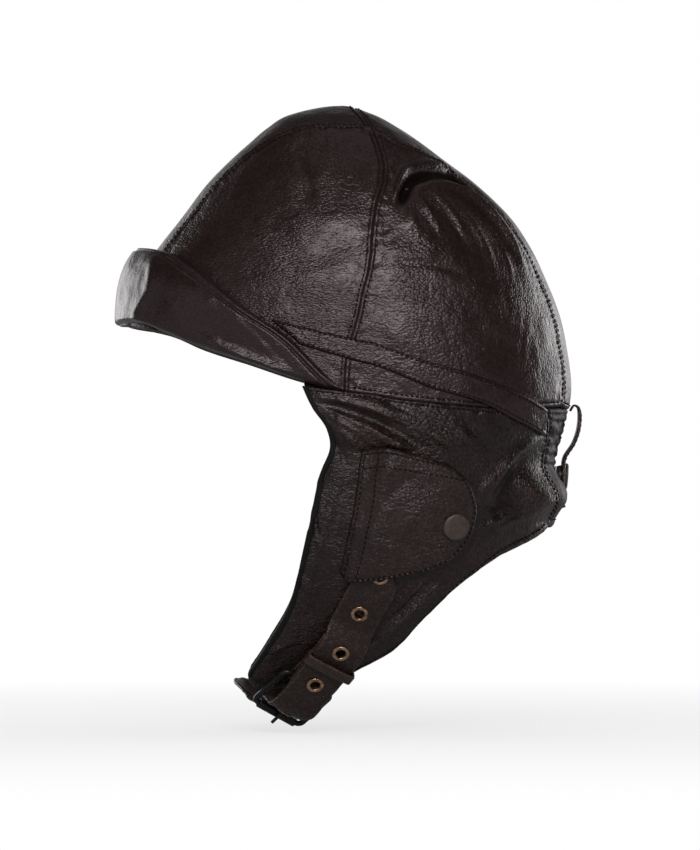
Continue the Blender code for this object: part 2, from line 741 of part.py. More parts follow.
def snap_set(name, frame, cover, cover_thick):
    """Cap, socket, stud and post of one snap, along a frame's Z from the form outward."""
    def at(height):
        return frame @ Matrix.Translation((0, 0, height))

    bore = SNAP_BARREL + HOLE_CLEAR
    rivet = SNAP_BARREL / 2
    cap_top = LAYER_GAP + SNAP_DOME
    barrel_end = -cover_thick - 2 * LAYER_GAP
    cap = turned(f"{name}_snap_cap", (
        (0, cap_top), (SNAP_RADIUS * 0.6, cap_top - SNAP_DOME * 0.14),
        (SNAP_RADIUS * 0.92, cap_top - SNAP_DOME * 0.5), (SNAP_RADIUS, cap_top - SNAP_DOME * 0.88),
        (SNAP_RADIUS, LAYER_GAP), (SNAP_BARREL, LAYER_GAP), (SNAP_BARREL, barrel_end), (0, barrel_end)),
        at(COVER_LIFT + cover_thick), SNAP_METAL)
    socket = turned(f"{name}_snap_socket", (
        (bore, 0), (SOCKET_RADIUS, 0), (SOCKET_RADIUS, -SOCKET_HEIGHT * 0.3),
        (SOCKET_RADIUS * 0.9, -SOCKET_HEIGHT), (SOCKET_BORE, -SOCKET_HEIGHT),
        (SOCKET_BORE, -SOCKET_HEIGHT * 0.45), (bore, -SOCKET_HEIGHT * 0.3)),
        at(COVER_LIFT - LAYER_GAP), SNAP_METAL)
    stud_top = STUD_FLANGE + STUD_HEIGHT
    turned(f"{name}_snap_stud", (
        (rivet + HOLE_CLEAR, stud_top), (STUD_HEAD, stud_top), (STUD_HEAD, stud_top - STUD_HEIGHT * 0.5),
        (STUD_HEAD * 0.9, STUD_FLANGE), (STUD_RADIUS, STUD_FLANGE), (STUD_RADIUS, 0),
        (rivet + HOLE_CLEAR, 0)), at(LEATHER_LIFT + LAYER_GAP), SNAP_METAL, 12)
    rivet_top = LEATHER_LIFT + LAYER_GAP + stud_top - STUD_HEIGHT * 0.2
    turned(f"{name}_snap_post", (
        (0, rivet_top), (rivet, rivet_top), (rivet, -TRIM_GAP), (POST_RADIUS, -TRIM_GAP),
        (POST_RADIUS, -TRIM_GAP - POST_FLANGE), (0, -TRIM_GAP - POST_FLANGE)), at(0), SNAP_METAL, 12)
    cut(cover, make_cutter(f"{name}_cap_cutter", bore, 4 * cover_thick, at(COVER_LIFT)))
    return [cap, socket]


def pin_hole(name, frame, items):
    """A hole for a snap's rivet through layers of the cap."""
    pin = make_cutter(name, SNAP_BARREL / 2 + HOLE_CLEAR, 4 * LEATHER_LIFT, frame)
    for item in items:
        cut(item, pin)


def ear_cover(side, hand):
    """The D-shaped cover over the ear opening, sewn along its front edge."""
    top_line = curve_through(COVER_TOP_SHARES, COVER_LIFT)
    low_line = curve_through(COVER_LOW_SHARES, COVER_LIFT)
    hinge_line = curve_through((COVER_TOP_SHARES[0], COVER_LOW_SHARES[0]), COVER_LIFT)
    free_line = curve_through(COVER_FREE_SHARES, COVER_LIFT)
    grid = patch_rows(top_line, low_line, hinge_line, free_line, 8, 8)
    width = (COVER_FREE_SHARES[2][0] - COVER_TOP_SHARES[0][0]) * HEAD_REACH
    cover_top = COVER_LIFT + COVER_THICK
    hinge_top = LEATHER_LIFT + LAYER_GAP + COVER_THICK

    def lift(down, across):
        rise = min(across * width / COVER_RAMP, 1.0)
        rise = rise * rise * (3 - 2 * rise)
        return hinge_top + (cover_top - hinge_top) * rise

    points = lifted(grid, hand, lift)
    cover = shell(f"{side}_ear_cover", points, COVER_THICK, LEATHER)
    snap = snap_set(f"{side}_ear", snap_frames(hand), cover, COVER_THICK)
    middle = (points[0][0] + points[-1][0]) / 2
    hang(f"{side}_cover_hinge", middle + normal_at(middle) * HINGE_CLEAR, [cover] + snap)


def ribbon(name, path, width, thick, look, columns=2):
    """A flat strip along a path of places, each with a side direction."""
    points = []
    for place, side in path:
        points.append([place + side * width * (column / columns - 0.5) for column in range(columns + 1)])
    middle = path[len(path) // 2]
    item = shell(name, points, thick, look, offset=0.0, outward=middle[0])
    return item


class StrapLine:
    """The line that the chin strap follows on the left flap, and the buckle's own frame."""

    def __init__(self):
        self.bar_lift = LEATHER_LIFT + LAYER_GAP * 2 + CHAPE_THICK + BAR_RADIUS + RUN_CLEAR
        self.line = places(STRAP_LINE_SHARES, 0)
        self.base = [skin(*spline(self.line, step / LINE_STEPS), LEFT, 0) for step in range(LINE_STEPS + 1)]
        lengths = [0.0]
        for first, second in zip(self.base, self.base[1:]):
            lengths.append(lengths[-1] + (second - first).length)
        self.lengths = lengths
        reach, drop = BUCKLE_PLACE_SHARE
        target = place_under(reach * HEAD_REACH, -drop * FORM_HEIGHT, self.bar_lift)
        want = skin(*target, LEFT, 0)
        nearest = min(range(LINE_STEPS + 1), key=lambda step: (self.base[step] - want).length)
        self.bar_length = lengths[nearest]
        self.origin, self.along, self.side, self.out = self.at(0.0)
        self.origin = self.origin + self.out * self.bar_lift

    def at(self, distance):
        """Place and directions on the form at a distance past the buckle's hinge bar."""
        length = self.bar_length + distance
        step = 2 * LEATHER_LIFT
        behind, point, ahead = (
            Vector([float(np.interp(place, self.lengths, [base[axis] for base in self.base]))
                    for axis in range(3)])
            for place in (length - step, length, length + step))
        along = (ahead - behind).normalized()
        out = normal_at(point)
        side = along.cross(out).normalized()
        out = side.cross(along).normalized()
        return point, along, side, out

    def local(self, along, out, side=0.0):
        """World place of a point given along, out of and across the buckle."""
        return self.origin + self.along * along + self.out * out + self.side * side

    def on_flap(self, distance, lift):
        """Place and side direction at a distance and lift on the flap."""
        point, along, side, out = self.at(distance)
        return point + out * lift, side


def chin_strap(line):
    """The strap: from its tip, over the hinge bar, under the roller and to the right flap."""
    half = STRAP_THICK / 2
    low = LEATHER_LIFT + 2 * LAYER_GAP + half
    raised = low + 2 * CHAPE_THICK + KEEPER_THICK + 4 * LAYER_GAP
    over_bar = BAR_RADIUS + 2 * RUN_CLEAR + 2 * PRONG_RADIUS + LAYER_GAP + half
    under = ROLLER_RADIUS + ROLLER_CLEAR + half
    path = []
    for share, rise in TAIL_RISE_SHARES:
        path.append(line.on_flap(-share * STRAP_TAIL, low + (raised - low) * rise))
    for share, bulge in BULGE_SHARES:
        path.append((line.local(share * BUCKLE_LENGTH, over_bar + bulge * STRAP_BULGE), line.side))
    for share, dive in DIVE_SHARES:
        path.append((line.local(share * BUCKLE_LENGTH, dive * (over_bar if dive > 0 else under)), line.side))
    mirror = Vector((line.side.x, -line.side.y, line.side.z))
    for index, (reach, half_share, drop) in enumerate(CHIN_ROUTE_SHARES):
        way = index / (len(CHIN_ROUTE_SHARES) - 1)
        side = (line.side * (1 - way) + mirror * way).normalized()
        path.append((Vector((reach * HEAD_REACH, half_share * HALF_WIDTH, -drop * FORM_HEIGHT)), side))
    for share in FAR_END_SHARES:
        place, side = line.on_flap(share * STRAP_TAIL, low)
        path.append((Vector((place.x, -place.y, place.z)), Vector((side.x, -side.y, side.z))))
    controls = [(*place, *(side * HEAD_REACH)) for place, side in path]
    smooth = []
    for step in range(STRAP_STEPS + 1):
        value = spline(controls, step / STRAP_STEPS, 3)
        smooth.append((Vector(value[:3]), Vector(value[3:]).normalized()))
    strap = ribbon("chin_strap", smooth, STRAP_WIDTH, STRAP_THICK, LEATHER)
    return strap, smooth


def eyelets(line, strap, smooth):
    """Brass eyelets down the strap's tail, the lowest one on the prong."""
    lengths = [0.0]
    for (first, _), (second, _) in zip(smooth, smooth[1:]):
        lengths.append(lengths[-1] + (second - first).length)

    def at(length):
        place = Vector([float(np.interp(length, lengths, [p[axis] for p, _ in smooth])) for axis in range(3)])
        side = Vector([float(np.interp(length, lengths, [s[axis] for _, s in smooth])) for axis in range(3)])
        ahead = Vector([float(np.interp(length + BAR_RADIUS, lengths, [p[axis] for p, _ in smooth]))
                        for axis in range(3)])
        behind = Vector([float(np.interp(length - BAR_RADIUS, lengths, [p[axis] for p, _ in smooth]))
                         for axis in range(3)])
        along = (ahead - behind).normalized()
        return place, along, side.normalized()

    prong_height = BAR_RADIUS + RUN_CLEAR + PRONG_RADIUS * 2 + LAYER_GAP / 2
    engaged = None
    for length in np.linspace(lengths[0], lengths[-1], SEEK_STEPS):
        place, _, _ = at(length)
        local = place - line.origin
        if local.dot(line.along) > BUCKLE_LENGTH * PRONG_MEET_SHARE and local.dot(line.out) < prong_height:
            engaged = length
            break
    rings = []
    for index in range(EYELET_COUNT):
        place, along, side = at(engaged - index * EYELET_PITCH)
        out = along.cross(side).normalized()
        if out.dot(line.out) < 0:
            out = -out
        bend = max((at(engaged - index * EYELET_PITCH + reach)[0] - place).dot(out)
                   for reach in (-EYELET_RADIUS, 0, EYELET_RADIUS))
        frame = frame_on(place + out * bend, out, along)
        cut(strap, make_cutter(f"eyelet_cutter_{index}", EYELET_BORE + EYELET_WALL + RUN_CLEAR,
                               4 * STRAP_THICK, frame))
        rings.append(frame)
    top = STRAP_THICK / 2 + LAYER_GAP + EYELET_FLANGE
    inner, outer = EYELET_BORE, EYELET_BORE + EYELET_WALL
    profile = ((inner, top), (EYELET_RADIUS, top - EYELET_FLANGE * 0.4), (EYELET_RADIUS, top - EYELET_FLANGE),
               (outer, top - EYELET_FLANGE), (outer, -STRAP_THICK / 2), (inner, -STRAP_THICK / 2))
    for index, frame in enumerate(rings):
        turned(f"strap_eyelet_{index + 1}", profile, frame, BRASS, 14)


def chape(line):
    """The short strap that folds round the hinge bar and is sewn to the left flap."""
    low = LEATHER_LIFT + LAYER_GAP + CHAPE_THICK / 2
    high = low + CHAPE_THICK + LAYER_GAP
    wrap = BAR_RADIUS + RUN_CLEAR + CHAPE_THICK / 2
    path = [line.on_flap(-CHAPE_LENGTH * share, low) for share in CHAPE_LOW_SHARES]
    for step in range(7):
        angle = math.pi * (step / 6 - 0.5)
        path.append((line.local(wrap * math.cos(angle), wrap * math.sin(angle)), line.side))
    path += [line.on_flap(-CHAPE_LENGTH * share, high) for share in CHAPE_HIGH_SHARES]
    item = ribbon("buckle_chape", path, CHAPE_WIDTH, CHAPE_THICK, LEATHER)
    slot = bmesh.new()
    bmesh.ops.create_cube(slot, size=1.0)
    reach = 3 * wrap
    size = Matrix.Diagonal((PRONG_SLOT, 2 * reach, 4 * wrap, 1.0))
    place = frame_on(line.local(reach - wrap * 1.5, 0), line.out, line.along)
    bmesh.ops.transform(slot, matrix=place @ size, verts=slot.verts)
    mesh = bpy.data.meshes.new("prong_slot")
    slot.to_mesh(mesh)
    slot.free()
    cutter = bpy.data.objects.new("prong_slot", mesh)
    cutter.hide_render = True
    cutter.display_type = "WIRE"
    CUTTERS.objects.link(cutter)
    cut(item, cutter)


def keeper(line, smooth):
    """The leather loop that holds the strap's tail down."""
    half = STRAP_THICK / 2
    near, _ = line.on_flap(-KEEPER_PLACE, LEATHER_LIFT + STRAP_THICK + 2 * CHAPE_THICK + KEEPER_THICK)
    index = min(range(len(smooth)), key=lambda step: (smooth[step][0] - near).length)
    centre, side = smooth[index]
    along = (smooth[index + 1][0] - smooth[index - 1][0]).normalized()
    out = along.cross(side).normalized()
    if out.dot(line.out) < 0:
        out = -out
    wide = STRAP_WIDTH / 2 + 2 * LAYER_GAP + KEEPER_THICK / 2
    tall = half + 1.5 * LAYER_GAP + KEEPER_THICK / 2
    upper = tall + EYELET_FLANGE + LAYER_GAP
    nook = KEEPER_THICK / 2
    ring = ((-wide, nook - tall), (-wide, upper - nook), (nook - wide, upper), (0, upper),
            (wide - nook, upper), (wide, upper - nook), (wide, nook - tall), (wide - nook, -tall),
            (0, -tall), (nook - wide, -tall))
    path = [(centre + side * across + out * up, along) for across, up in ring + ring[:1]]
    points = [[place + lay * KEEPER_WIDTH * (column - 0.5) for column in range(2)] for place, lay in path]
    shell("strap_keeper", points, KEEPER_THICK, LEATHER, offset=0.0, outward=centre)


def tube(name, places, radius, look, closed=False):
    """A round bar along the places."""
    curve = bpy.data.curves.new(name, "CURVE")
    curve.dimensions = "3D"
    curve.bevel_depth = radius
    curve.bevel_resolution = 2
    curve.use_fill_caps = not closed
    line = curve.splines.new("POLY")
    line.points.add(len(places) - 1)
    line.use_cyclic_u = closed
    for point, place in zip(line.points, places):
        point.co = (*place, 1.0)
    item = bpy.data.objects.new(name, curve)
    return finish(item, look)


def buckle(line):
    """The frame on its hinge bar, the roller on its end bar and the prong."""
    wide = BUCKLE_INNER / 2 + BAR_RADIUS
    corner = BAR_RADIUS * 2
    outline = []
    for across, along in ((1, 0), (1, 1), (-1, 1), (-1, 0)):
        centre_x = across * (wide - corner)
        centre_y = corner if along == 0 else BUCKLE_LENGTH - corner
        first = {(1, 0): -90, (1, 1): 0, (-1, 1): 90, (-1, 0): 180}[(across, along)]
        for step in range(4):
            angle = math.radians(first + 30 * step)
            outline.append(line.local(centre_y + corner * math.sin(angle), 0,
                                      centre_x + corner * math.cos(angle)))
    frame = tube("buckle_frame", outline, BAR_RADIUS, BUCKLE_METAL, closed=True)
    half = wide - corner - RUN_CLEAR
    bore = BAR_RADIUS + RUN_CLEAR
    profile = ((bore, half), (ROLLER_RADIUS, half), (ROLLER_RADIUS, -half), (bore, -half))
    roller = turned("buckle_roller", profile, frame_on(line.local(BUCKLE_LENGTH, 0), line.side, line.along),
                    BUCKLE_METAL)
    loop = BAR_RADIUS + RUN_CLEAR + PRONG_RADIUS
    path = []
    for step in range(PRONG_STEPS + 1):
        angle = math.radians(PRONG_START_DEG - PRONG_WRAP_DEG * step / PRONG_STEPS)
        path.append(line.local(loop * math.cos(angle), loop * math.sin(angle)))
    rest = ROLLER_RADIUS + RUN_CLEAR + PRONG_RADIUS + LAYER_GAP
    path.append(line.local(BUCKLE_LENGTH * 0.5, (loop + rest) / 2))
    path.append(line.local(BUCKLE_LENGTH + PRONG_OVERRUN, rest))
    prong = tube("buckle_prong", path, PRONG_RADIUS, BUCKLE_METAL)
    hinge = hang("frame_hinge", line.origin, [frame])
    hang("prong_hinge", line.origin, [prong], hinge)
    hang("roller_axis", line.local(BUCKLE_LENGTH, 0), [roller], hinge)


def main():
    """Builds every piece of the cap."""
    crown_panels()
    crown_lining()
    for side, hand in (("left", LEFT), ("right", RIGHT)):
        ear_flap(side, hand)
        goggle_band(side, hand)
        ear_cover(side, hand)
    goggle_tab(nape_panel())
    brow_band()
    line = StrapLine()
    strap, smooth = chin_strap(line)
    eyelets(line, strap, smooth)
    chape(line)
    keeper(line, smooth)
    buckle(line)


main()
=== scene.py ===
"""Looks of the leather aviator cap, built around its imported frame.

Metres, +Z up, the face looks along -X and the wearer's left side is -Y, as in the part.
Outlines seen from the left are shares of the head's reach and of the form's height.
"""
import math

import bmesh
import bpy
import numpy as np
from mathutils import Matrix, Vector, noise


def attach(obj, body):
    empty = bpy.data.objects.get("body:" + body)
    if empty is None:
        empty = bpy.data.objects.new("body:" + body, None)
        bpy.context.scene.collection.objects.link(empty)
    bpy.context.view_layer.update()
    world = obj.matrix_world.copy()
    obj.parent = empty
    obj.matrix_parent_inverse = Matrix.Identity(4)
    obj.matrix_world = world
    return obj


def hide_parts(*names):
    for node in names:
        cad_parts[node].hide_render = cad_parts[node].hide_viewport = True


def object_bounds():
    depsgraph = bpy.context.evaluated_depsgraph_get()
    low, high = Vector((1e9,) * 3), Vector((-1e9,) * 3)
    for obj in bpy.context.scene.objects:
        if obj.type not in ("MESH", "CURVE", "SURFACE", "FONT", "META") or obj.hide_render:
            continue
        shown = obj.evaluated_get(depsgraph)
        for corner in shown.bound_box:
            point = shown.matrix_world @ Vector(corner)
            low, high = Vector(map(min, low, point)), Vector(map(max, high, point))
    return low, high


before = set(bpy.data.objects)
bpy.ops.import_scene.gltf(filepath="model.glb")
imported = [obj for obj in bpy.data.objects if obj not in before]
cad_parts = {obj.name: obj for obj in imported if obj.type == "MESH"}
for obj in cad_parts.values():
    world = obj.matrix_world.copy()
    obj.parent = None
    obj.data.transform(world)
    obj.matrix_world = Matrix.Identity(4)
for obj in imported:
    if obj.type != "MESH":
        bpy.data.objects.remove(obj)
CAD_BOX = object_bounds()

MM = 0.001
LEFT, RIGHT = 1, -1
SIDES = (("left", LEFT), ("right", RIGHT))

# Head form, as in the part.
HEAD_REACH = 0.100
FORM_HEIGHT = 0.281
HALF_WIDTH = 0.078
SECTION_POWER = 2.5
FORM_MIDDLE_SHARE = 0.338

# Layers from the head outward.
LINING_THICK = 1.0 * MM
LINING_GAP = 1.3 * MM
LEATHER_THICK = 1.2 * MM
LAYER_GAP = 0.3 * MM
TRIM_THICK = 1.2 * MM
COVER_THICK = 1.8 * MM
STRIP_WIDTH = 64 * MM
LEATHER_LIFT = LINING_THICK + LINING_GAP + LEATHER_THICK
GOGGLE_LIFT = LEATHER_LIFT + 0.6 * MM + TRIM_THICK
SNAP_STACK = 3.7 * MM
COVER_LIFT = LEATHER_LIFT + SNAP_STACK

# Threads and stitches.
THREAD = 0.32 * MM
STITCH = 1.75 * MM
STITCH_PITCH = 2.4 * MM
STITCH_SIDES = 6
STITCH_FLAT = 0.8
# Share along the stitch, height and width in threads, of its rings.
STITCH_RINGS = ((-0.06, -1.3, 0.7), (0.15, 0.55, 1.0), (0.5, 0.95, 1.05), (0.85, 0.55, 1.0),
                (1.06, -1.3, 0.7))

# Drop, front, widest place, rear and half width, as shares, from the top of the head down.
FORM_SHARES = (
    (0.0000, -0.030, -0.030, -0.030, 0.000),
    (0.0142, -0.245, -0.020, 0.115, 0.285),
    (0.0356, -0.345, -0.010, 0.225, 0.462),
    (0.0569, -0.415, 0.000, 0.315, 0.577),
    (0.0890, -0.515, 0.020, 0.435, 0.692),
    (0.1280, -0.620, 0.040, 0.580, 0.788),
    (0.1780, -0.725, 0.060, 0.725, 0.872),
    (0.2280, -0.835, 0.080, 0.820, 0.930),
    (0.2810, -0.940, 0.090, 0.890, 0.968),
    (0.3310, -0.998, 0.100, 0.945, 0.987),
    (0.3770, -1.012, 0.100, 0.975, 0.997),
    (0.4480, -1.010, 0.100, 1.000, 1.000),
    (0.5050, -1.000, 0.100, 0.970, 0.992),
    (0.5690, -0.990, 0.090, 0.925, 0.967),
    (0.6330, -0.970, 0.080, 0.910, 0.933),
    (0.6830, -0.920, 0.060, 0.895, 0.900),
    (0.7470, -0.800, 0.020, 0.800, 0.825),
    (0.8190, -0.720, -0.060, 0.610, 0.697),
    (0.8750, -0.700, -0.160, 0.450, 0.563),
    (0.9290, -0.690, -0.300, 0.280, 0.397),
    (0.9720, -0.640, -0.360, 0.060, 0.205),
    (1.0000, -0.380, -0.380, -0.380, 0.000),
)
BROW_LOW_SHARES = ((-0.948, 0.345), (-0.828, 0.361), (-0.672, 0.384), (-0.446, 0.410),
                   (-0.253, 0.433), (-0.005, 0.455))
BROW_TOP_SHARES = ((-0.810, 0.230), (-0.713, 0.250), (-0.598, 0.281), (-0.483, 0.314),
                   (-0.331, 0.351), (-0.179, 0.397), (-0.028, 0.449))
BROW_FRONT_LOW_SHARE = 0.349
BROW_FRONT_TOP_SHARE = 0.237
SIDE_SEAM_SHARES = ((0.166, 0.081), (0.166, 0.119), (0.138, 0.153), (0.120, 0.197),
                    (0.106, 0.250), (0.078, 0.291), (0.037, 0.355), (0.000, 0.405), (-0.008, 0.455))
CROWN_SEAM_SHARES = ((-0.008, 0.455), (0.248, 0.469), (0.570, 0.480), (0.780, 0.483), (0.920, 0.484))
GOGGLE_TOP_SHARES = ((-0.336, 0.341), (0.032, 0.373), (0.304, 0.402), (0.603, 0.433),
                     (0.782, 0.458), (0.915, 0.485))
GOGGLE_LOW_SHARES = ((-0.205, 0.380), (0.005, 0.402), (0.202, 0.423), (0.400, 0.451),
                     (0.603, 0.472), (0.782, 0.504), (0.905, 0.528))
FLAP_FRONT_SHARES = ((-0.184, 0.448), (-0.133, 0.486), (-0.074, 0.517), (-0.060, 0.551),
                     (-0.110, 0.595), (-0.138, 0.643), (-0.166, 0.690), (-0.202, 0.746),
                     (-0.248, 0.803), (-0.294, 0.836), (-0.373, 0.880), (-0.446, 0.918))
FLAP_REAR_SHARES = ((0.920, 0.485), (0.922, 0.518), (0.905, 0.559), (0.890, 0.600),
                    (0.900, 0.641), (0.905, 0.675))
FLAP_HEM_SHARES = ((0.023, 0.914), (0.207, 0.877), (0.336, 0.829), (0.492, 0.775), (0.667, 0.729),
                   (0.800, 0.703), (0.905, 0.675))
FLAP_END_ROUND_SHARES = ((-0.437, 0.931), (-0.400, 0.939), (-0.330, 0.938), (-0.180, 0.928))
COVER_TOP_SHARES = ((0.074, 0.553), (0.175, 0.548), (0.304, 0.559), (0.409, 0.569), (0.488, 0.582))
COVER_FREE_SHARES = ((0.488, 0.582), (0.538, 0.598), (0.570, 0.621), (0.584, 0.646),
                     (0.566, 0.679), (0.529, 0.702), (0.460, 0.726))
COVER_LOW_SHARES = ((-0.023, 0.751), (0.028, 0.761), (0.120, 0.759), (0.248, 0.751),
                    (0.354, 0.743), (0.460, 0.726))
FLAP_END_SHARE = 0.3
CROSS_SEAM_SHARE = 0.028
CROSS_SEAM_LEAN_SHARE = 0.100

SNAP_SHARE = (0.490, 0.672)
PORT_SHARE = (0.270, 0.630)
STRAP_LINE_SHARES = ((0.212, 0.706), (0.143, 0.750), (0.055, 0.806), (-0.037, 0.860), (-0.180, 0.914),
                     (-0.313, 0.966))
BUCKLE_PLACE_SHARE = (-0.175, 0.928)
NAPE_SNAP_SHARE = 0.592
TAB_FLAT_SHARE = 1.35
TAIL_RISE_SHARES = ((1.00, 0), (0.84, 0), (0.70, 0), (0.56, 0), (0.42, 1), (0.32, 1), (0.22, 1), (0.14, 1.14))
BULGE_SHARES = ((0, 0), (0.28, 0.75), (0.50, 1), (0.66, 0.45))
DIVE_SHARES = ((0.75, 0.55), (0.82, 0), (0.90, -0.8), (1.00, -1), (1.18, -1.1))
FAR_END_SHARES = (0.02, -0.12, -0.26)
PRONG_MEET_SHARE = 0.6
CHAPE_LOW_SHARES = (1.0, 0.75, 0.5, 0.3)
CHAPE_HIGH_SHARES = (0.4, 0.6, 0.8, 1.0)
CHIN_ROUTE_SHARES = ((-0.392, -0.175, 0.958), (-0.425, 0.000, 0.946), (-0.405, 0.180, 0.946),
                     (-0.340, 0.330, 0.949), (-0.258, 0.445, 0.944))
TAB_LOOP_SHARES = ((1.030, 0.487), (1.048, 0.478), (1.068, 0.482), (1.074, 0.498), (1.066, 0.520),
                   (1.044, 0.541))

# Trim, strap and buckle.
COVER_RAMP = 0.0085
PORT_LENGTH = 0.034
PORT_WIDTH = 0.024
SNAP_RADIUS = 0.0062
SNAP_DOME = 0.0014
# Share of the snap cap's radius, and depth below its top in millimetres.
SNAP_PROFILE = ((0, 0), (0.45, 0.04), (0.74, 0.12), (0.80, 0.16), (0.84, 0.26), (0.90, 0.36), (0.96, 0.62),
                (0.99, 0.95), (1, 1.232), (0.985, 1.4), (0.93, 1.52), (0, 1.52))
TAB_THICK = 0.0016
TAB_WIDTH = 0.020
TAB_TAIL = 0.008
STRAP_WIDTH = 0.0215
STRAP_THICK = 0.0018
STRAP_TAIL = 0.064
EYELET_RADIUS = 0.0040
EYELET_BORE = 0.0023
EYELET_FLANGE = 0.0005
EYELET_WALL = 0.0004
EYELET_PITCH = 0.0210
EYELET_COUNT = 5
CHAPE_THICK = 0.0012
CHAPE_LENGTH = 0.0255
CHAPE_WIDTH = 0.020
KEEPER_WIDTH = 0.0050
KEEPER_THICK = 0.0012
KEEPER_PLACE = 0.0150
BUCKLE_INNER = 0.0240
BUCKLE_LENGTH = 0.0235
BAR_RADIUS = 0.0013
ROLLER_RADIUS = 0.0022
PRONG_RADIUS = 0.0008
PRONG_OVERRUN = 0.0035
PRONG_SLOT = 0.0028
RUN_CLEAR = 0.0003
ROLLER_CLEAR = 0.0012
STRAP_BULGE = 0.0030


def spline(points, share, spaced_by=None):
    """Point at a share of the way along a smooth curve, spaced by its first values or by all."""
    places = np.array(points, float)
    steps = np.linalg.norm(np.diff(places[:, :spaced_by], axis=0), axis=1)
    knots = np.concatenate(([0.0], np.cumsum(steps))) / steps.sum()
    share = min(max(share, 0.0), 1.0)
    last = len(places) - 1
    first = min(int(np.searchsorted(knots, share, side="right")) - 1, last - 1)
    span = knots[first + 1] - knots[first]
    way = (share - knots[first]) / span

    def slope(place):
        low = max(place - 1, 0)
        high = min(place + 1, last)
        return (places[high] - places[low]) / (knots[high] - knots[low]) * span

    rise = way * way * (3 - 2 * way)
    level = places[first] * (1 - rise) + places[first + 1] * rise
    return level + slope(first) * way * (1 - way) ** 2 + slope(first + 1) * way * way * (way - 1)


def curve(points, count, spaced_by=None):
    """Evenly spaced points of the smooth curve through the points."""
    return np.array([spline(points, step / count, spaced_by) for step in range(count + 1)])


def smooth(value):
    """Zero below 0, one above 1, and smooth between."""
    value = np.clip(value, 0, 1)
    return value * value * (3 - 2 * value)


def bell(value, width):
    """One where the value is zero, and smoothly down to zero over a width."""
    return np.exp(-(value / width) ** 2)


def round_end(inward, radius, least=0):
    """Share of the full size at a distance inward from a rounded end."""
    return np.sqrt(np.clip(1 - np.clip(1 - inward / radius, 0, 1) ** 2, least, 1))


def unit(directions):
    """The same directions with a length of one."""
    return directions / np.linalg.norm(directions, axis=-1, keepdims=True)


def lengths_of(line):
    """Distance of each place from the first one, along the line through them."""
    return np.concatenate(([0.0], np.cumsum(np.linalg.norm(np.diff(line, axis=0), axis=1))))


def at_length(length, lengths, line):
    """The place at a length along a line, or the places at several lengths."""
    return np.stack([np.interp(length, lengths, line[:, axis]) for axis in range(line.shape[1])], axis=-1)


def make_form_rows(steps=40):
    """Sections of the head form at even steps of level, closed smoothly at both ends."""
    rows = np.array(FORM_SHARES)

    def ghost(row, pole):
        """A section mirrored at a pole, which sets the slope there."""
        return np.array((row[0], *(2 * pole[2] - row[1:4]), -row[4]))

    rows = np.vstack((ghost(rows[1], rows[0]), rows, ghost(rows[-2], rows[-1])))
    dense = []
    for index in range(1, len(rows) - 2):
        slope_in = (rows[index + 1] - rows[index - 1]) / 2
        slope_out = (rows[index + 2] - rows[index]) / 2
        for step in range(steps):
            way = step / steps
            rise = way * way * (3 - 2 * way)
            level = rows[index] * (1 - rise) + rows[index + 1] * rise
            dense.append(level + slope_in * way * (1 - way) ** 2 + slope_out * way * way * (way - 1))
    dense.append(rows[-2])
    sizes = np.array((FORM_HEIGHT, HEAD_REACH, HEAD_REACH, HEAD_REACH, HALF_WIDTH))
    return np.array(dense) * sizes, np.arange(len(dense)) / steps


FORM_ROWS, FORM_LEVELS = make_form_rows()


def section_at(drop):
    """Front, widest place, rear and half width of the form at a drop below its top."""
    return [np.interp(drop, FORM_ROWS[:, 0], FORM_ROWS[:, column]) for column in range(1, 5)]


def outside(points):
    """Above zero outside the form, and below zero inside it, for an array of points."""
    drop = np.clip(-points[..., 2], 0, FORM_HEIGHT)
    front, widest, rear, half = section_at(drop)
    reach = np.maximum(np.where(points[..., 0] > widest, rear - widest, widest - front), LAYER_GAP)
    along = np.abs(points[..., 0] - widest) / reach
    across = np.abs(points[..., 1]) / np.maximum(half, LAYER_GAP)
    inside = along ** SECTION_POWER + across ** SECTION_POWER - 1
    return np.where((-points[..., 2] <= 0) | (-points[..., 2] >= FORM_HEIGHT), 1.0, inside)


def normals_of(points):
    """Directions out of the form at an array of points on it."""
    step = LAYER_GAP
    slopes = []
    for axis in range(3):
        nudge = np.zeros(3)
        nudge[axis] = step
        slopes.append(outside(points + nudge) - outside(points - nudge))
    result = np.stack(slopes, axis=-1)
    result[-points[..., 2] < 2 * step] = (0, 0, 1)
    return unit(result)


def form_points(turn, level, hand):
    """Points of the form: turn runs from the rear over one side to the front."""
    turn, level = np.asarray(turn, float), np.asarray(level, float)
    drop, front, widest, rear, half = [np.interp(level, FORM_LEVELS, FORM_ROWS[:, column])
                                       for column in range(5)]
    forward = np.cos(turn)
    reach = np.where(forward > 0, rear - widest, widest - front)
    along = np.sign(forward) * np.abs(forward) ** (2 / SECTION_POWER) * reach
    across = np.abs(np.sin(turn)) ** (2 / SECTION_POWER) * half
    return np.stack((widest + along, -hand * across, -drop), axis=-1)


def skin(turn, level, hand, lift):
    """Points at a lift above the form."""
    base = form_points(turn, level, hand)
    return base + normals_of(base) * np.asarray(lift)[..., None]


def form_place(x, z):
    """Turn and level of the form's points at a side view's x and z."""
    level = np.interp(-z, FORM_ROWS[:, 0], FORM_LEVELS)
    front, widest, rear, _ = section_at(-z)
    reach = np.where(x > widest, rear - widest, widest - front)
    along = np.minimum(np.abs(x - widest) / reach, 1.0) ** (SECTION_POWER / 2)
    return np.arccos(np.copysign(along, x - widest)), level


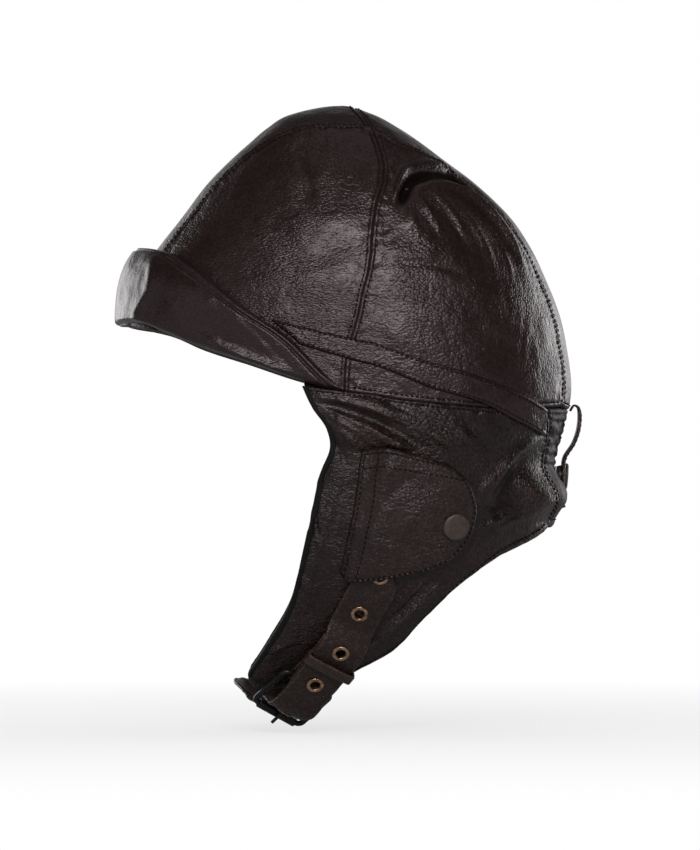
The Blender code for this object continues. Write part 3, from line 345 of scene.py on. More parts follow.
def place_under(x, z, lift):
    """Turns and levels whose lifted points show at a side view's x and z."""
    base_x, base_z = np.asarray(x, float), np.asarray(z, float)
    for _ in range(4):
        turn, level = form_place(base_x, base_z)
        point = skin(turn, level, LEFT, lift)
        base_x = base_x + x - point[..., 0]
        base_z = base_z + z - point[..., 2]
    turn, level = form_place(base_x, base_z)
    return np.stack((turn, level), axis=-1)


def places(shares, lift=LEATHER_LIFT):
    """Turns and levels of an outline that is drawn from the left."""
    shares = np.array(shares)
    return place_under(shares[:, 0] * HEAD_REACH, -shares[:, 1] * FORM_HEIGHT, lift)


def level_at(drop_share):
    """Level of the form at a share of its height."""
    return float(np.interp(drop_share * FORM_HEIGHT, FORM_ROWS[:, 0], FORM_LEVELS))


def patch(top, low, front, rear):
    """Grid of turns and levels inside four boundary curves."""
    down = np.linspace(0, 1, len(front))[:, None, None]
    across = np.linspace(0, 1, len(top))[None, :, None]
    ruled = top[None] * (1 - down) + low[None] * down
    sides = front[:, None] * (1 - across) + rear[:, None] * across
    corners = (front[0] * (1 - across) + rear[0] * across) * (1 - down)
    corners = corners + (front[-1] * (1 - across) + rear[-1] * across) * down
    return ruled + sides - corners


def strip_base(angle, across):
    """Points of the form on rays in planes at a distance across, from the form's middle height."""
    angle, across = np.broadcast_arrays(angle, across)
    start = np.stack((np.zeros_like(across), across, np.full_like(across, -FORM_HEIGHT * FORM_MIDDLE_SHARE)),
                     axis=-1)
    ray = np.stack((np.cos(angle), np.zeros_like(angle), np.sin(angle)), axis=-1)
    low, high = np.zeros(angle.shape), np.full(angle.shape, 2 * HEAD_REACH)
    for _ in range(30):
        middle = (low + high) / 2
        within = outside(start + ray * middle[..., None]) < 0
        low = np.where(within, middle, low)
        high = np.where(within, high, middle)
    return start + ray * low[..., None]


# Folds of the left side in millimetres, seen from the left: height, half width, and then x and z
# of its places. The right side wears the same folds, shallower and shifted a little.
FOLDS = (
    # front panel
    (-0.9, 2.2, -21.5, -22, -18.5, -30, -15.5, -43),
    (-0.8, 1.8, -38, -23, -31, -18.5, -25, -15),
    (1.0, 2.2, -28, -20, -22, -13, -19, -10),
    (0.9, 8.0, -29, -57, -10, -53, 7, -49),
    (-0.7, 8.0, -32, -66, -12, -64, 8, -62),
    (0.8, 12.0, -40, -80, -15, -80, 8, -79),
    (0.5, 9.0, -60, -62, -48, -56, -40, -46),
    # the deep pucker under the rear strip's seam and its folds
    (-4.6, 2.5, 24.5, -45, 26.5, -38, 29.5, -32.5, 34, -30, 41, -29),
    (-3.7, 1.7, 29, -32.5, 38.6, -28.5, 52.4, -31, 65.8, -41, 75.4, -52, 79, -60),
    (1.5, 1.9, 27, -26.5, 38.6, -24, 53, -26.5, 67, -36.8, 77, -49),
    (2.0, 1.6, 29.5, -24.5, 26, -29.5, 23.6, -36, 22, -43),
    (1.9, 1.7, 34, -34.5, 41, -33.5, 52, -36.5, 64, -45.5, 74, -59, 80, -71, 84, -80),
    (-1.0, 1.5, 48, -38.5, 60, -47, 69, -59, 75, -72),
    (1.2, 2.0, 36, -38, 47, -42, 57, -52, 64, -65, 68, -76),
    (-0.7, 1.7, 34, -42, 44, -48, 52, -58, 57, -68),
    (0.9, 1.8, 32, -42, 39, -49, 44, -59),
    (0.6, 1.8, 28, -46, 31, -54, 33, -62),
    (0.5, 3.4, 22, -48, 33, -55, 42, -68),
    (1.25, 1.0, 39, -33.5, 52, -37, 63, -45, 73, -58, 81, -72),
    (1.0, 0.9, 45, -38, 57, -44.5, 66, -54, 72, -65, 76, -77),
    (0.6, 0.85, 37, -37, 43, -42, 50, -50, 54, -59),
    (1.1, 0.95, 53, -33.5, 64, -42, 74, -54.5, 82, -68, 86, -80),
    (0.5, 0.8, 33, -40, 37, -46, 39, -54),
    (-1.2, 1.1, 36, -30.5, 46, -30.5, 56, -34),
    (-0.55, 1.8, 14, -70, 26, -70, 38, -71, 50, -74, 60, -78),
    (0.5, 3.5, 14, -66, 28, -66, 42, -68),
    (0.22, 1.3, 68, -82, 71, -92, 69, -104, 70, -116),
    (0.25, 1.2, 72, -80, 75, -91, 73, -103, 74, -118),
    (0.22, 1.3, 77, -84, 79, -94, 77, -106, 78, -119),
    (0.22, 1.2, 82, -88, 83, -98, 81, -108, 82, -118),
    (0.6, 6.0, 20, -84, 30, -92, 42, -96, 54, -94),
    (0.5, 6.0, 16, -100, 30, -106, 46, -108),
    # below the crown seam
    (0.8, 1.0, -16, -131, 0, -133, 16, -138, 34, -147),
    (2.0, 8.0, -10, -141, 12, -146, 38, -158),
    (1.0, 3.0, -6, -136, 8, -136, 24, -140),
    (0.8, 1.0, -13, -134.5, 4, -141, 20, -149, 33, -158),
    (0.8, 1.0, -8, -139, 6, -147, 16, -155),
    (0.7, 1.1, 30, -140, 48, -149, 62, -163),
    (1.0, 1.8, -18, -178, -16, -190, -19, -203),
    (1.0, 1.6, -8, -152, -13, -163, -20, -172),
    (-1.0, 1.5, -6, -160, -12, -171, -20, -182),
    (0.8, 1.2, -22, -186, -15, -192, -9, -202),
    (0.8, 1.3, -27, -206, -20, -214, -14, -226),
    (0.7, 1.4, -33, -222, -26, -232, -22, -244),
    (0.7, 1.4, -40, -246, -30, -244, -22, -240),
    (0.8, 1.2, 52, -192, 62, -189, 74, -184),
    (0.9, 1.1, 30, -226, 16, -238, 2, -250),
    (-0.8, 1.3, -12, -172, -14, -184, -13, -196),
    (0.7, 1.4, -24, -196, -21, -208, -25, -220),
    (0.7, 1.4, -28, -226, -33, -236, -37, -246),
    (1.2, 1.1, 34, -222, 24, -231, 10, -243),
    (1.0, 1.0, 60, -196, 48, -203, 36, -213, 24, -225, 10, -238),
    (0.9, 1.3, 44, -207, 31, -215, 20, -227),
    (0.9, 1.2, 14, -231, 2, -245, -8, -256),
    (0.8, 1.6, 58, -176, 66, -186, 70, -196),
    (0.7, 2.4, 46, -160, 52, -172, 50, -186),
    (1.8, 2.6, -14, -128.5, 10, -133.5, 30, -142.5, 54, -158),
    (-1.7, 2.4, -15.5, -132.5, 6, -138.5, 26, -148.5, 43, -160),
    (1.3, 2.6, -11, -137, 8, -144.5, 24, -153.5, 36, -162),
    (1.3, 2.2, -6, -142, 4, -152, 8, -160),
    (-1.1, 2.2, -9, -147, 0, -158.5, 3, -168),
    (0.9, 3.4, 26, -135.5, 46, -142.5, 62, -154.5),
    (-0.6, 2.0, 12, -136, 34, -146, 52, -163),
    (-0.6, 3.0, 50, -140, 60, -148, 66, -158),
    # the long diagonal fold behind the cover
    (1.9, 2.6, 90, -147, 82, -152, 75, -158.5, 67, -169, 60, -180),
    (-1.3, 3.6, 90, -154, 80, -161, 72, -172, 65, -184),
    (0.7, 1.8, 67, -163, 62.5, -171, 60, -178),
    (0.6, 1.6, 66, -190.5, 75, -187, 85, -183),
    (0.5, 1.8, 72, -194, 82, -190, 90, -187),
    (0.6, 3.0, 80, -168, 84, -176, 88, -182),
    # below the cover and beside the strap
    (0.9, 1.7, 43, -213, 36, -220, 29, -228),
    (1.3, 2.0, 46, -213, 38, -219, 26, -229, 12, -240),
    (-0.5, 2.0, 48, -206, 40, -214, 34, -224),
    (0.7, 1.7, -20, -211, -16, -216, -13, -221),
    (0.7, 1.7, -23, -217, -19, -222, -15, -227),
    (0.5, 2.0, -1, -163, -9.5, -188, -14.5, -208, -19, -224),
    (0.8, 2.2, -25, -236, -31, -244, -38, -252),
)
FOLD_SHIFT = 3.0 * MM
FOLD_SHRINK = 0.8
FOLD_STEPS = 14
FOLD_REACH = 2.6
FOLD_FADE, FOLD_END = 0.35, 0.15


def fold_relief(x, z, hand, folds=FOLDS):
    """Height of the folds at places seen from the side."""
    if hand == RIGHT:
        x, z = x + FOLD_SHIFT, z + FOLD_SHIFT / 2
    total = np.zeros(np.shape(x))
    for height, width, *line in folds:
        reach = FOLD_REACH * width * MM
        path = curve(np.array(line).reshape(-1, 2) * MM, FOLD_STEPS)
        low, high = path.min(axis=0) - reach, path.max(axis=0) + reach
        near = (x > low[0]) & (x < high[0]) & (z > low[1]) & (z < high[1])
        if not near.any():
            continue
        near_x, near_z = x[near], z[near]
        best = np.full(near_x.shape, 1.0)
        where = np.zeros(near_x.shape)
        for index, (first, second) in enumerate(zip(path, path[1:])):
            run = second - first
            way = np.clip(((near_x - first[0]) * run[0] + (near_z - first[1]) * run[1]) / (run @ run), 0, 1)
            away = np.hypot(near_x - first[0] - way * run[0], near_z - first[1] - way * run[1])
            where = np.where(away < best, (index + way) / FOLD_STEPS, where)
            best = np.minimum(best, away)
        fade = smooth(np.minimum(where, 1 - where) / FOLD_FADE + FOLD_END)
        total[near] += height * MM * fade * bell(best, width * MM)
    return total * (FOLD_SHRINK if hand == RIGHT else 1.0)


def noise_field(points, size, seed=0.0):
    """Smooth noise at an array of points, for waves of about the size."""
    flat = points.reshape(-1, 3) / size + seed
    values = [noise.noise(Vector(place)) for place in flat]
    return np.array(values).reshape(points.shape[:-1])


def crease_field(points, size, seed=0.0):
    """Noise folded into soft ridges, for wrinkles of about the size."""
    return 0.5 - np.abs(noise_field(points, size, seed))


# Boxes seen from the left, in millimetres: x and z of two corners, and the width of the soft edge.
# Fine wrinkles stand out in the first three, by the strength after each.
FINE_WINDOWS = (((-14, -165, 70, -126, 8), 0.35), ((14, -125, 100, -25, 10), 0.10),
                ((-60, -260, 100, -165, 8), 0.22))
UNDER_COVER_WINDOW = (-2, -216, 62, -152, 4)
FINE_LEAST = 0.05
WAVE_HEIGHT, WAVE_REACH, WAVE_SEED = 0.30 * MM, 14 * MM, 3.1
FINE_REACH, FINE_SEED, FINE_STRETCH = 4.5 * MM, 7.7, (1.0, 1.0, 0.6)
FLATTER_UNDER_COVER, FINER_UNDER_COVER = 0.85, 0.6


def in_window(x, z, window):
    """One inside a box seen from the side, and zero outside it, over a soft edge."""
    low_x, low_z, high_x, high_z, soft = np.array(window) * MM
    inside_x = smooth((x - low_x) / soft) * smooth((high_x - x) / soft)
    inside_z = smooth((z - low_z) / soft) * smooth((high_z - z) / soft)
    return inside_x * inside_z


# The puffed rear lower corners: height, where it starts and over what length it grows or fades,
# and the shares that are kept at the hem and behind the tab.
SKIRT_HEIGHT = 7.5 * MM
SKIRT_TOP, SKIRT_TOP_RUN = -160 * MM, 15 * MM
SKIRT_HEM, SKIRT_HEM_RUN, SKIRT_HEM_KEPT = -176 * MM, 13 * MM, 0.25
SKIRT_FRONT, SKIRT_FRONT_RUN = 74 * MM, 15 * MM
SKIRT_TAB, SKIRT_TAB_RUN, SKIRT_TAB_KEPT = 9 * MM, 7 * MM, 0.08


def skirt_flare(points):
    """How far the cap's rear lower corners puff out beside the tab's tip."""
    x, y, z = points[..., 0], np.abs(points[..., 1]), points[..., 2]
    level = smooth((SKIRT_TOP - z) / SKIRT_TOP_RUN)
    level = level * (1 - (1 - SKIRT_HEM_KEPT) * smooth((SKIRT_HEM - z) / SKIRT_HEM_RUN))
    aside = SKIRT_TAB_KEPT + (1 - SKIRT_TAB_KEPT) * smooth((y - SKIRT_TAB) / SKIRT_TAB_RUN)
    return SKIRT_HEIGHT * level * smooth((x - SKIRT_FRONT) / SKIRT_FRONT_RUN) * aside


def relief(points, hand):
    """Height of the leather's folds and wrinkles over the smooth cap."""
    x, z = points[..., 0], points[..., 2]
    folds = fold_relief(x, z, hand)
    waves = WAVE_HEIGHT * noise_field(points, WAVE_REACH, WAVE_SEED)
    fine = crease_field(points * np.array(FINE_STRETCH), FINE_REACH, FINE_SEED)
    strength = FINE_LEAST
    for window, share in FINE_WINDOWS:
        strength = strength + share * in_window(x, z, window)
    under_cover = in_window(x, z, UNDER_COVER_WINDOW)
    folds = folds + skirt_flare(points)
    return ((folds + waves) * (1 - FLATTER_UNDER_COVER * under_cover)
            + fine * strength * MM * (1 - FINER_UNDER_COVER * under_cover))


CROWDING = 0.62


def crowded(count):
    """Shares from zero to one that lie closer together near both ends."""
    even = np.linspace(0, 1, count + 1)
    return even - CROWDING * np.sin(2 * np.pi * even) / (2 * np.pi)


def crowd(grid):
    """The same grid with its rows and columns closer together near the edges."""
    for axis in (0, 1):
        count = grid.shape[axis] - 1
        place = crowded(count) * count
        low = np.minimum(place.astype(int), count - 1)
        way = (place - low).reshape((-1, 1, 1) if axis == 0 else (1, -1, 1))
        grid = np.take(grid, low, axis) * (1 - way) + np.take(grid, low + 1, axis) * way
    return grid


def edge_distances(points):
    """Distance of each grid point to the grid's four sides: first and last column, first and last row."""
    across = np.linalg.norm(np.diff(points, axis=1), axis=-1)
    down = np.linalg.norm(np.diff(points, axis=0), axis=-1)
    left = np.concatenate((np.zeros((len(points), 1)), np.cumsum(across, axis=1)), axis=1)
    top = np.concatenate((np.zeros((1, points.shape[1])), np.cumsum(down, axis=0)), axis=0)
    return left, left[:, -1:] - left, top, top[-1:] - top


# How a sheet meets what is next to it, in millimetres: depth and width of the dip at its edge, place
# and depth of the stitch row's groove, height and length of the puckers, and rise before the groove.
SEAM = dict(dip=0.50, width=0.36, groove=2.2, groove_depth=0.14, pucker=0.22, length=6.0, rise=0.16)
SOFT_SEAM = dict(SEAM, pucker=0.35)
HEM = dict(dip=0.5, width=0.7, groove=4.0, groove_depth=0.26, pucker=0.30, length=8.0, rise=0.25)
TURNED = dict(dip=0.45, width=0.5, groove=1.7, groove_depth=0.16, pucker=0.12, length=6.0, rise=0.20)


GROOVE_WIDTH = 0.5 * MM
PUCKER_END = 12 * MM
PUCKER_PLACE, PUCKER_WIDTH = 3.0 * MM, 4.0 * MM


def edge_relief(points, edges):
    """Height that the edges' dips, grooves and puckers take off or add."""
    total = np.zeros(points.shape[:-1])
    for style, away in zip(edges, edge_distances(points)):
        if style is None:
            continue
        total -= style["dip"] * MM * bell(away, style["width"] * MM)
        groove = style["groove"] * MM
        total -= style["groove_depth"] * MM * bell(away - groove, GROOVE_WIDTH)
        total += style["rise"] * MM * bell(away - groove / 2, groove * 0.35)
        near = away < PUCKER_END
        wave = np.zeros(points.shape[:-1])
        wave[near] = noise_field(points[near], style["length"] * 0.6 * MM, 11.0)
        total += style["pucker"] * 1.6 * MM * wave * bell(away - PUCKER_PLACE, PUCKER_WIDTH)
    return total


def make_mesh(name, vertices, faces, weld=False, ridge=None):
    """A smooth mesh object of the vertices and faces, linked to the scene."""
    mesh = bpy.data.meshes.new(name)
    mesh.from_pydata([tuple(place) for place in vertices], [], faces)
    if ridge is not None:
        mesh.attributes.new("ridge", "FLOAT", "POINT").data.foreach_set("value", ridge.astype(np.float32))
    if weld:
        shape = bmesh.new()
        shape.from_mesh(mesh)
        bmesh.ops.remove_doubles(shape, verts=shape.verts, dist=0.01 * MM)
        shape.to_mesh(mesh)
        shape.free()
    mesh.shade_smooth()
    item = bpy.data.objects.new(name, mesh)
    bpy.context.scene.collection.objects.link(item)
    return item


def face_outward(item, weld=0.0):
    """Turns the faces of a closed piece outward, once places within a distance are joined."""
    shape = bmesh.new()
    shape.from_mesh(item.data)
    if weld:
        bmesh.ops.remove_doubles(shape, verts=shape.verts, dist=weld)
    bmesh.ops.recalc_face_normals(shape, faces=shape.faces)
    shape.to_mesh(item.data)
    shape.free()
    item.data.shade_smooth()
    return item


def tube_faces(rings, count, closed=False):
    """Faces between rings of places: a loop when closed, or else a bar with two flat ends."""
    faces = []
    for ring in range(rings if closed else rings - 1):
        base, ahead = ring * count, (ring + 1) % rings * count
        for spot in range(count):
            after = (spot + 1) % count
            faces.append((base + spot, base + after, ahead + after, ahead + spot))
    if not closed:
        faces.append(tuple(range(count - 1, -1, -1)))
        faces.append(tuple((rings - 1) * count + spot for spot in range(count)))
    return faces


RIM_BULGE = 0.3


def slab(name, points, normals, thick, ridge=None, weld=False):
    """A closed sheet with a rounded edge: the points are its outer face."""
    rows, columns = points.shape[:2]
    inner = points - normals * thick
    index = np.arange(rows * columns).reshape(rows, columns)
    border = np.concatenate((index[0, :-1], index[:-1, -1], index[-1, :0:-1], index[:0:-1, 0]))
    flat, flat_in = points.reshape(-1, 3), inner.reshape(-1, 3)
    ring = (flat[border] + flat_in[border]) / 2
    before, after = np.roll(ring, 1, axis=0), np.roll(ring, -1, axis=0)
    tangent = after - before
    away = np.cross(tangent, normals.reshape(-1, 3)[border])
    away /= np.maximum(np.linalg.norm(away, axis=-1, keepdims=True), 1e-9)
    middle = flat.mean(axis=0)
    if np.sum((ring - middle) * away) < 0:
        away = -away
    vertices = np.concatenate((flat, flat_in, ring + away * thick * RIM_BULGE))
    count = rows * columns
    a, b, c, d = index[:-1, :-1], index[:-1, 1:], index[1:, 1:], index[1:, :-1]
    quads = np.stack((a, b, c, d), axis=-1).reshape(-1, 4)
    sample = quads[len(quads) // 2]
    turn = np.cross(flat[sample[1]] - flat[sample[0]], flat[sample[3]] - flat[sample[0]])
    flip = turn @ normals.reshape(-1, 3)[sample[0]] < 0
    outer = quads[:, ::-1] if flip else quads
    inside = (quads if flip else quads[:, ::-1]) + count
    rim = []
    size = len(border)
    for place in range(size):
        ahead = (place + 1) % size
        first, second = border[place], border[ahead]
        rim.append((second, first, 2 * count + place, 2 * count + ahead))
        rim.append((2 * count + ahead, 2 * count + place, first + count, second + count))
    if flip:
        rim = [face[::-1] for face in rim]
    faces = [tuple(int(v) for v in face) for face in list(outer) + list(inside) + rim]
    values = None
    if ridge is not None:
        values = np.concatenate((ridge.reshape(-1), np.zeros(count), ridge.reshape(-1)[border]))
    return make_mesh(name, vertices, faces, weld, values)


def row_at(points, normals, side, offset):
    """Places and normals on a grid along one side, at a distance inside it."""
    away = edge_distances(points)[side]
    lines = away if side < 2 else away.T
    spots = points if side < 2 else points.transpose(1, 0, 2)
    outs = normals if side < 2 else normals.transpose(1, 0, 2)
    result, result_out = [], []
    for line, spot, out in zip(lines, spots, outs):
        if side in (1, 3):
            line, spot, out = line[::-1], spot[::-1], out[::-1]
        if line[-1] < offset:
            continue
        result.append(at_length(offset, line, spot))
        result_out.append(at_length(offset, line, out))
    return np.array(result), np.array(result_out)


class Thread:
    """Gathers stitches that share one object."""

    def __init__(self, name):
        self.name = name
        self.vertices = []
        self.faces = []

    def stitch(self, start, end, out):
        """One stitch: a short thread that dips into the leather at both ends."""
        run = end - start
        side = unit(np.cross(run, out)) * THREAD
        up = unit(out) * THREAD
        base = len(self.vertices)
        for share, height, width in STITCH_RINGS:
            centre = start + run * share + up * height
            for angle in np.arange(STITCH_SIDES) * 2 * np.pi / STITCH_SIDES:
                self.vertices.append(centre + side * math.cos(angle) * width
                                     + up * math.sin(angle) * STITCH_FLAT)
        for face in tube_faces(len(STITCH_RINGS), STITCH_SIDES):
            self.faces.append(tuple(base + spot for spot in face))

    def row(self, places, outs, trim=0.0):
        """Stitches at an even pitch along a line of places."""
        if len(places) < 2:
            return
        lengths = lengths_of(places)
        for index in range(int((lengths[-1] - 2 * trim) / STITCH_PITCH)):
            start = trim + index * STITCH_PITCH
            self.stitch(at_length(start, lengths, places), at_length(start + STITCH, lengths, places),
                        at_length(start, lengths, outs))

    def finish(self, material, body):
        """Makes the object of all the stitches."""
        item = make_mesh(self.name, self.vertices, self.faces)
        item.data.materials.append(material)
        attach(item, body)
        return item


def sample(shares, count, lift=LEATHER_LIFT):
    """Evenly spaced turns and levels of an outline drawn from the left."""
    return curve(places(shares, lift), count)


def grow(grid, hand, lift, edges, fold=1.0):
    """Points and normals of a sheet of leather over a grid of turns and levels, and its ridges."""
    grid = crowd(grid)
    base = form_points(grid[..., 0], grid[..., 1], hand)
    return grow_on(base, hand, lift, edges, fold)


def grow_on(base, hand, lift, edges, fold=1.0):
    """Points and normals of a sheet of leather at a lift over points of the form, and its ridges."""
    normals = normals_of(base)
    lift = np.broadcast_to(lift, base.shape[:-1])
    height = fold * relief(base + normals * LEATHER_LIFT, hand)
    edge = edge_relief(base + normals * lift[..., None], edges)
    points = base + normals * (lift + height + edge)[..., None]
    return points, normals, (height + 2 * edge) / MM


def face_normals(points, normals):
    """Directions out of the sheet itself, with its folds."""
    down = np.gradient(points, axis=0)
    across = np.gradient(points, axis=1)
    result = np.cross(down, across)
    size = np.linalg.norm(result, axis=-1, keepdims=True)
    result = np.where(size > 1e-12, result / np.maximum(size, 1e-12), normals)
    sign = np.sign(np.sum(result * normals, axis=-1, keepdims=True))
    return np.where(sign == 0, normals, result * sign)


def dress(item, material, body, slot, *nodes):
    """Gives a piece its material, its body and the CAD nodes it stands for."""
    item.data.materials.clear()
    item.data.materials.append(material)
    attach(item, body)
    if nodes:
        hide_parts(*nodes)
    return item


def sew(thread, points, normals, side, offsets, trim=2.0 * MM):
    """Rows of stitches along one side of a sheet."""
    out = face_normals(points, normals)
    for offset in offsets:
        places_along, outs = row_at(points, out, side, offset)
        thread.row(places_along, outs, trim)


def crown_angles():
    """Angles of the front strip's brow end and of the rear strip's nape end."""
    brow = math.pi + math.asin((BROW_FRONT_LOW_SHARE - FORM_MIDDLE_SHARE) * FORM_HEIGHT / HEAD_REACH)
    nape = -math.atan((CROWN_SEAM_SHARES[-1][1] - FORM_MIDDLE_SHARE) * FORM_HEIGHT / HEAD_REACH)
    return brow, nape


def cross_seam(across):
    """Angle of the seam across the top of the crown."""
    lean = CROSS_SEAM_SHARE + CROSS_SEAM_LEAN_SHARE * (across / (STRIP_WIDTH / 2)) ** 2
    return np.arctan2(FORM_HEIGHT * FORM_MIDDLE_SHARE, lean * HEAD_REACH)


# Where the centre strips widen over the head, along it: the crest's two slopes and the sag behind it.
CREST_WIDER, SAG_WIDER = 5.0 * MM, 4.5 * MM
CREST_FRONT, CREST_FRONT_RUN, CREST_REAR, CREST_REAR_RUN = 62 * MM, 60 * MM, 66 * MM, 40 * MM
SAG_PLACE, SAG_WIDTH = 29 * MM, 11 * MM


def strip_half(angle):
    """Half the centre strips' width: wider over the top of the head, where the panels sag."""
    along = FORM_HEIGHT * FORM_MIDDLE_SHARE * np.cos(angle) / np.maximum(np.sin(angle), 0.3)
    crest = smooth((along + CREST_FRONT) / CREST_FRONT_RUN) * smooth((CREST_REAR - along) / CREST_REAR_RUN)
    return STRIP_WIDTH / 2 + CREST_WIDER * crest + SAG_WIDER * bell(along - SAG_PLACE, SAG_WIDTH)


def strip_edge(first, last, count=48):
    """Turns and levels along the centre strip's edge, between two angles."""
    angle = np.linspace(first, last, count)
    base = strip_base(angle, strip_half(angle))
    return np.stack(form_place(base[:, 0], base[:, 2]), axis=-1)


def centre_strips(looks, thread):
    """The strips over the middle of the crown, before and behind the cross seam."""
    brow, nape = crown_angles()
    side_share = crowded(90) * 2 - 1
    across = side_share * STRIP_WIDTH / 2
    for name, end, rows in (("front_crown_strip", brow, 190), ("rear_crown_strip", nape, 260)):
        share = crowded(rows)[:, None]
        start = cross_seam(across)[None]
        angle = start + (end - start) * share
        base = strip_base(angle, side_share[None] * strip_half(angle))
        fold = smooth((np.abs(base[..., 1]) - 22 * MM) / (12 * MM)) * 0.6
        last = SEAM if name.startswith("rear") else None
        edges = (SEAM, SEAM, SEAM, last)
        left = grow_on(base, LEFT, LEATHER_LIFT, edges, fold)
        right = grow_on(base, RIGHT, LEATHER_LIFT, edges, fold)
        pick = (base[..., 1] < 0)
        points = np.where(pick[..., None], left[0], right[0])
        ridge = np.where(pick, left[2], right[2])
        item = slab(name + "_skin", points, left[1], LEATHER_THICK, ridge)
        dress(item, looks["cap_leather"], "cap", "cap_leather", name)
        for side in range(4 if last else 3):
            sew(thread, points, left[1], side, (SEAM["groove"] * MM,))


def side_panels(looks, thread):
    """The crown's front and rear panel on each side."""
    brow, nape = crown_angles()
    front_edge = strip_edge(cross_seam(STRIP_WIDTH / 2), brow)
    rear_edge = strip_edge(cross_seam(STRIP_WIDTH / 2), nape)
    apex = front_edge[0]
    seam_line = np.vstack((apex[None], places(SIDE_SEAM_SHARES)))
    brow_low = np.vstack((front_edge[-1:], places(BROW_LOW_SHARES[1:])))
    crown_low = np.vstack((places(CROWN_SEAM_SHARES[:-1]), rear_edge[-1:]))
    rows, columns = 220, 200
    for side, hand in SIDES:
        for name, first, last, low in (("front", front_edge, seam_line, brow_low),
                                       ("rear", seam_line, rear_edge, crown_low)):
            top = np.repeat(apex[None], columns + 1, axis=0)
            grid = patch(top, curve(low, columns), curve(first, rows), curve(last, rows))[1:]
            grid[0] = grid[0].mean(axis=0)
            edges = (SOFT_SEAM, SEAM, None, SEAM if name == "rear" else None)
            points, normals, ridge = grow(grid, hand, LEATHER_LIFT, edges)
            node = f"{side}_{name}_crown_panel"
            item = slab(node + "_skin", points, normals, LEATHER_THICK, ridge, weld=True)
            dress(item, looks["cap_leather"], "cap", "cap_leather", node)
            for edge in ((0, 1, 3) if name == "rear" else (0, 1)):
                sew(thread, points[2:], normals[2:], edge, (SEAM["groove"] * MM,), 4 * MM)


def lining_dip(base, hand):
    """How far the lining gives way under deep folds."""
    height = relief(base + normals_of(base) * LEATHER_LIFT, hand)
    return np.minimum(height + LINING_GAP * 0.7, 0)


def crown_lining(looks):
    """The domed cloth lining of the crown."""
    low_curve = np.vstack((places(BROW_LOW_SHARES[1:]), places(CROWN_SEAM_SHARES[1:-1])))
    turns = np.concatenate(([math.pi], low_curve[:, 0], [0.0]))
    levels = np.concatenate(([level_at(BROW_FRONT_LOW_SHARE)], low_curve[:, 1],
                             [level_at(CROWN_SEAM_SHARES[-1][1])]))
    angle = np.linspace(0, 2 * math.pi, 181)
    turn = np.where(angle <= math.pi, angle, 2 * math.pi - angle)
    is_left = angle <= math.pi
    level = np.interp(-turn, -turns, levels) - 0.06
    ring = np.linspace(0, 1, 70)[:, None] ** 1.35
    grid_level = level[None] * ring
    base = form_points(np.broadcast_to(turn, grid_level.shape), grid_level, np.where(is_left, LEFT, RIGHT))
    normals = normals_of(base)
    dip = np.where(is_left, lining_dip(base, LEFT), lining_dip(base, RIGHT))
    points = base + normals * (LINING_THICK + dip)[..., None]
    item = slab("crown_lining_skin", points, normals, LINING_THICK * 0.8, weld=True)
    dress(item, looks["lining_cloth"], "cap", "lining_cloth", "crown_lining")


def flap_grid(rows=190, columns=170):
    """Turns and levels of an ear flap, from its crown seam to its hem and end."""
    top = sample(FLAP_FRONT_SHARES[:1] + CROWN_SEAM_SHARES[:-1] + FLAP_REAR_SHARES[:1], columns)
    hem = places(FLAP_HEM_SHARES)
    end = places(FLAP_FRONT_SHARES[-1:] + FLAP_END_ROUND_SHARES + FLAP_HEM_SHARES[:1])
    low = []
    for column in range(columns + 1):
        share = column / columns
        if share < FLAP_END_SHARE:
            low.append(spline(end, share / FLAP_END_SHARE))
        else:
            low.append(spline(hem, (share - FLAP_END_SHARE) / (1 - FLAP_END_SHARE)))
    return patch(top, np.array(low), sample(FLAP_FRONT_SHARES, rows), sample(FLAP_REAR_SHARES, rows))


def frame_on(point, out, up=(0, 0, 1)):
    """A frame whose Z points out and whose Y leans upward."""
    out = Vector(out).normalized()
    side = Vector(up).cross(out).normalized()
    lean = out.cross(side).normalized()
    turn = Matrix((side, lean, out)).transposed().to_4x4()
    return Matrix.Translation(Vector(point)) @ turn


def turned(name, profile, frame_at, sides):
    """A turned piece from the profile of its outer side, in a frame."""
    vertices, faces = [], []
    for radius, height in profile:
        for step in range(sides):
            angle = 2 * math.pi * step / sides
            vertices.append(frame_at @ Vector((radius * math.cos(angle), radius * math.sin(angle), height)))
    rings = len(profile)
    for ring in range(rings):
        ahead = (ring + 1) % rings
        if ahead == 0 and profile[0][0] == 0 and profile[-1][0] == 0:
            continue
        for step in range(sides):
            after = (step + 1) % sides
            faces.append((ring * sides + step, ahead * sides + step, ahead * sides + after,
                          ring * sides + after))
    return make_mesh(name, vertices, faces, weld=True)


def cut(item, cutter):
    """Cuts a piece by another, which goes away."""
    tool = item.modifiers.new("cut", "BOOLEAN")
    tool.operation = "DIFFERENCE"
    tool.solver = "EXACT"
    tool.object = cutter
    bpy.context.view_layer.update()
    shape = bpy.data.meshes.new_from_object(item.evaluated_get(bpy.context.evaluated_depsgraph_get()))
    item.modifiers.clear()
    item.data = shape
    item.data.shade_smooth()
    bpy.data.objects.remove(cutter)


def surface_frame(shares, lift, hand):
    """A frame on the form under a place drawn from the left."""
    turn, level = place_under(shares[0] * HEAD_REACH, -shares[1] * FORM_HEIGHT, lift)
    base = form_points(turn, level, hand)
    return frame_on(base, normals_of(base[None])[0])


# Rise above the sheet's top row and depth under it, in millimetres.
TUCK_ROWS = ((3.0, 1.5), (2.0, 1.45), (1.0, 1.2), (0.4, 0.5))


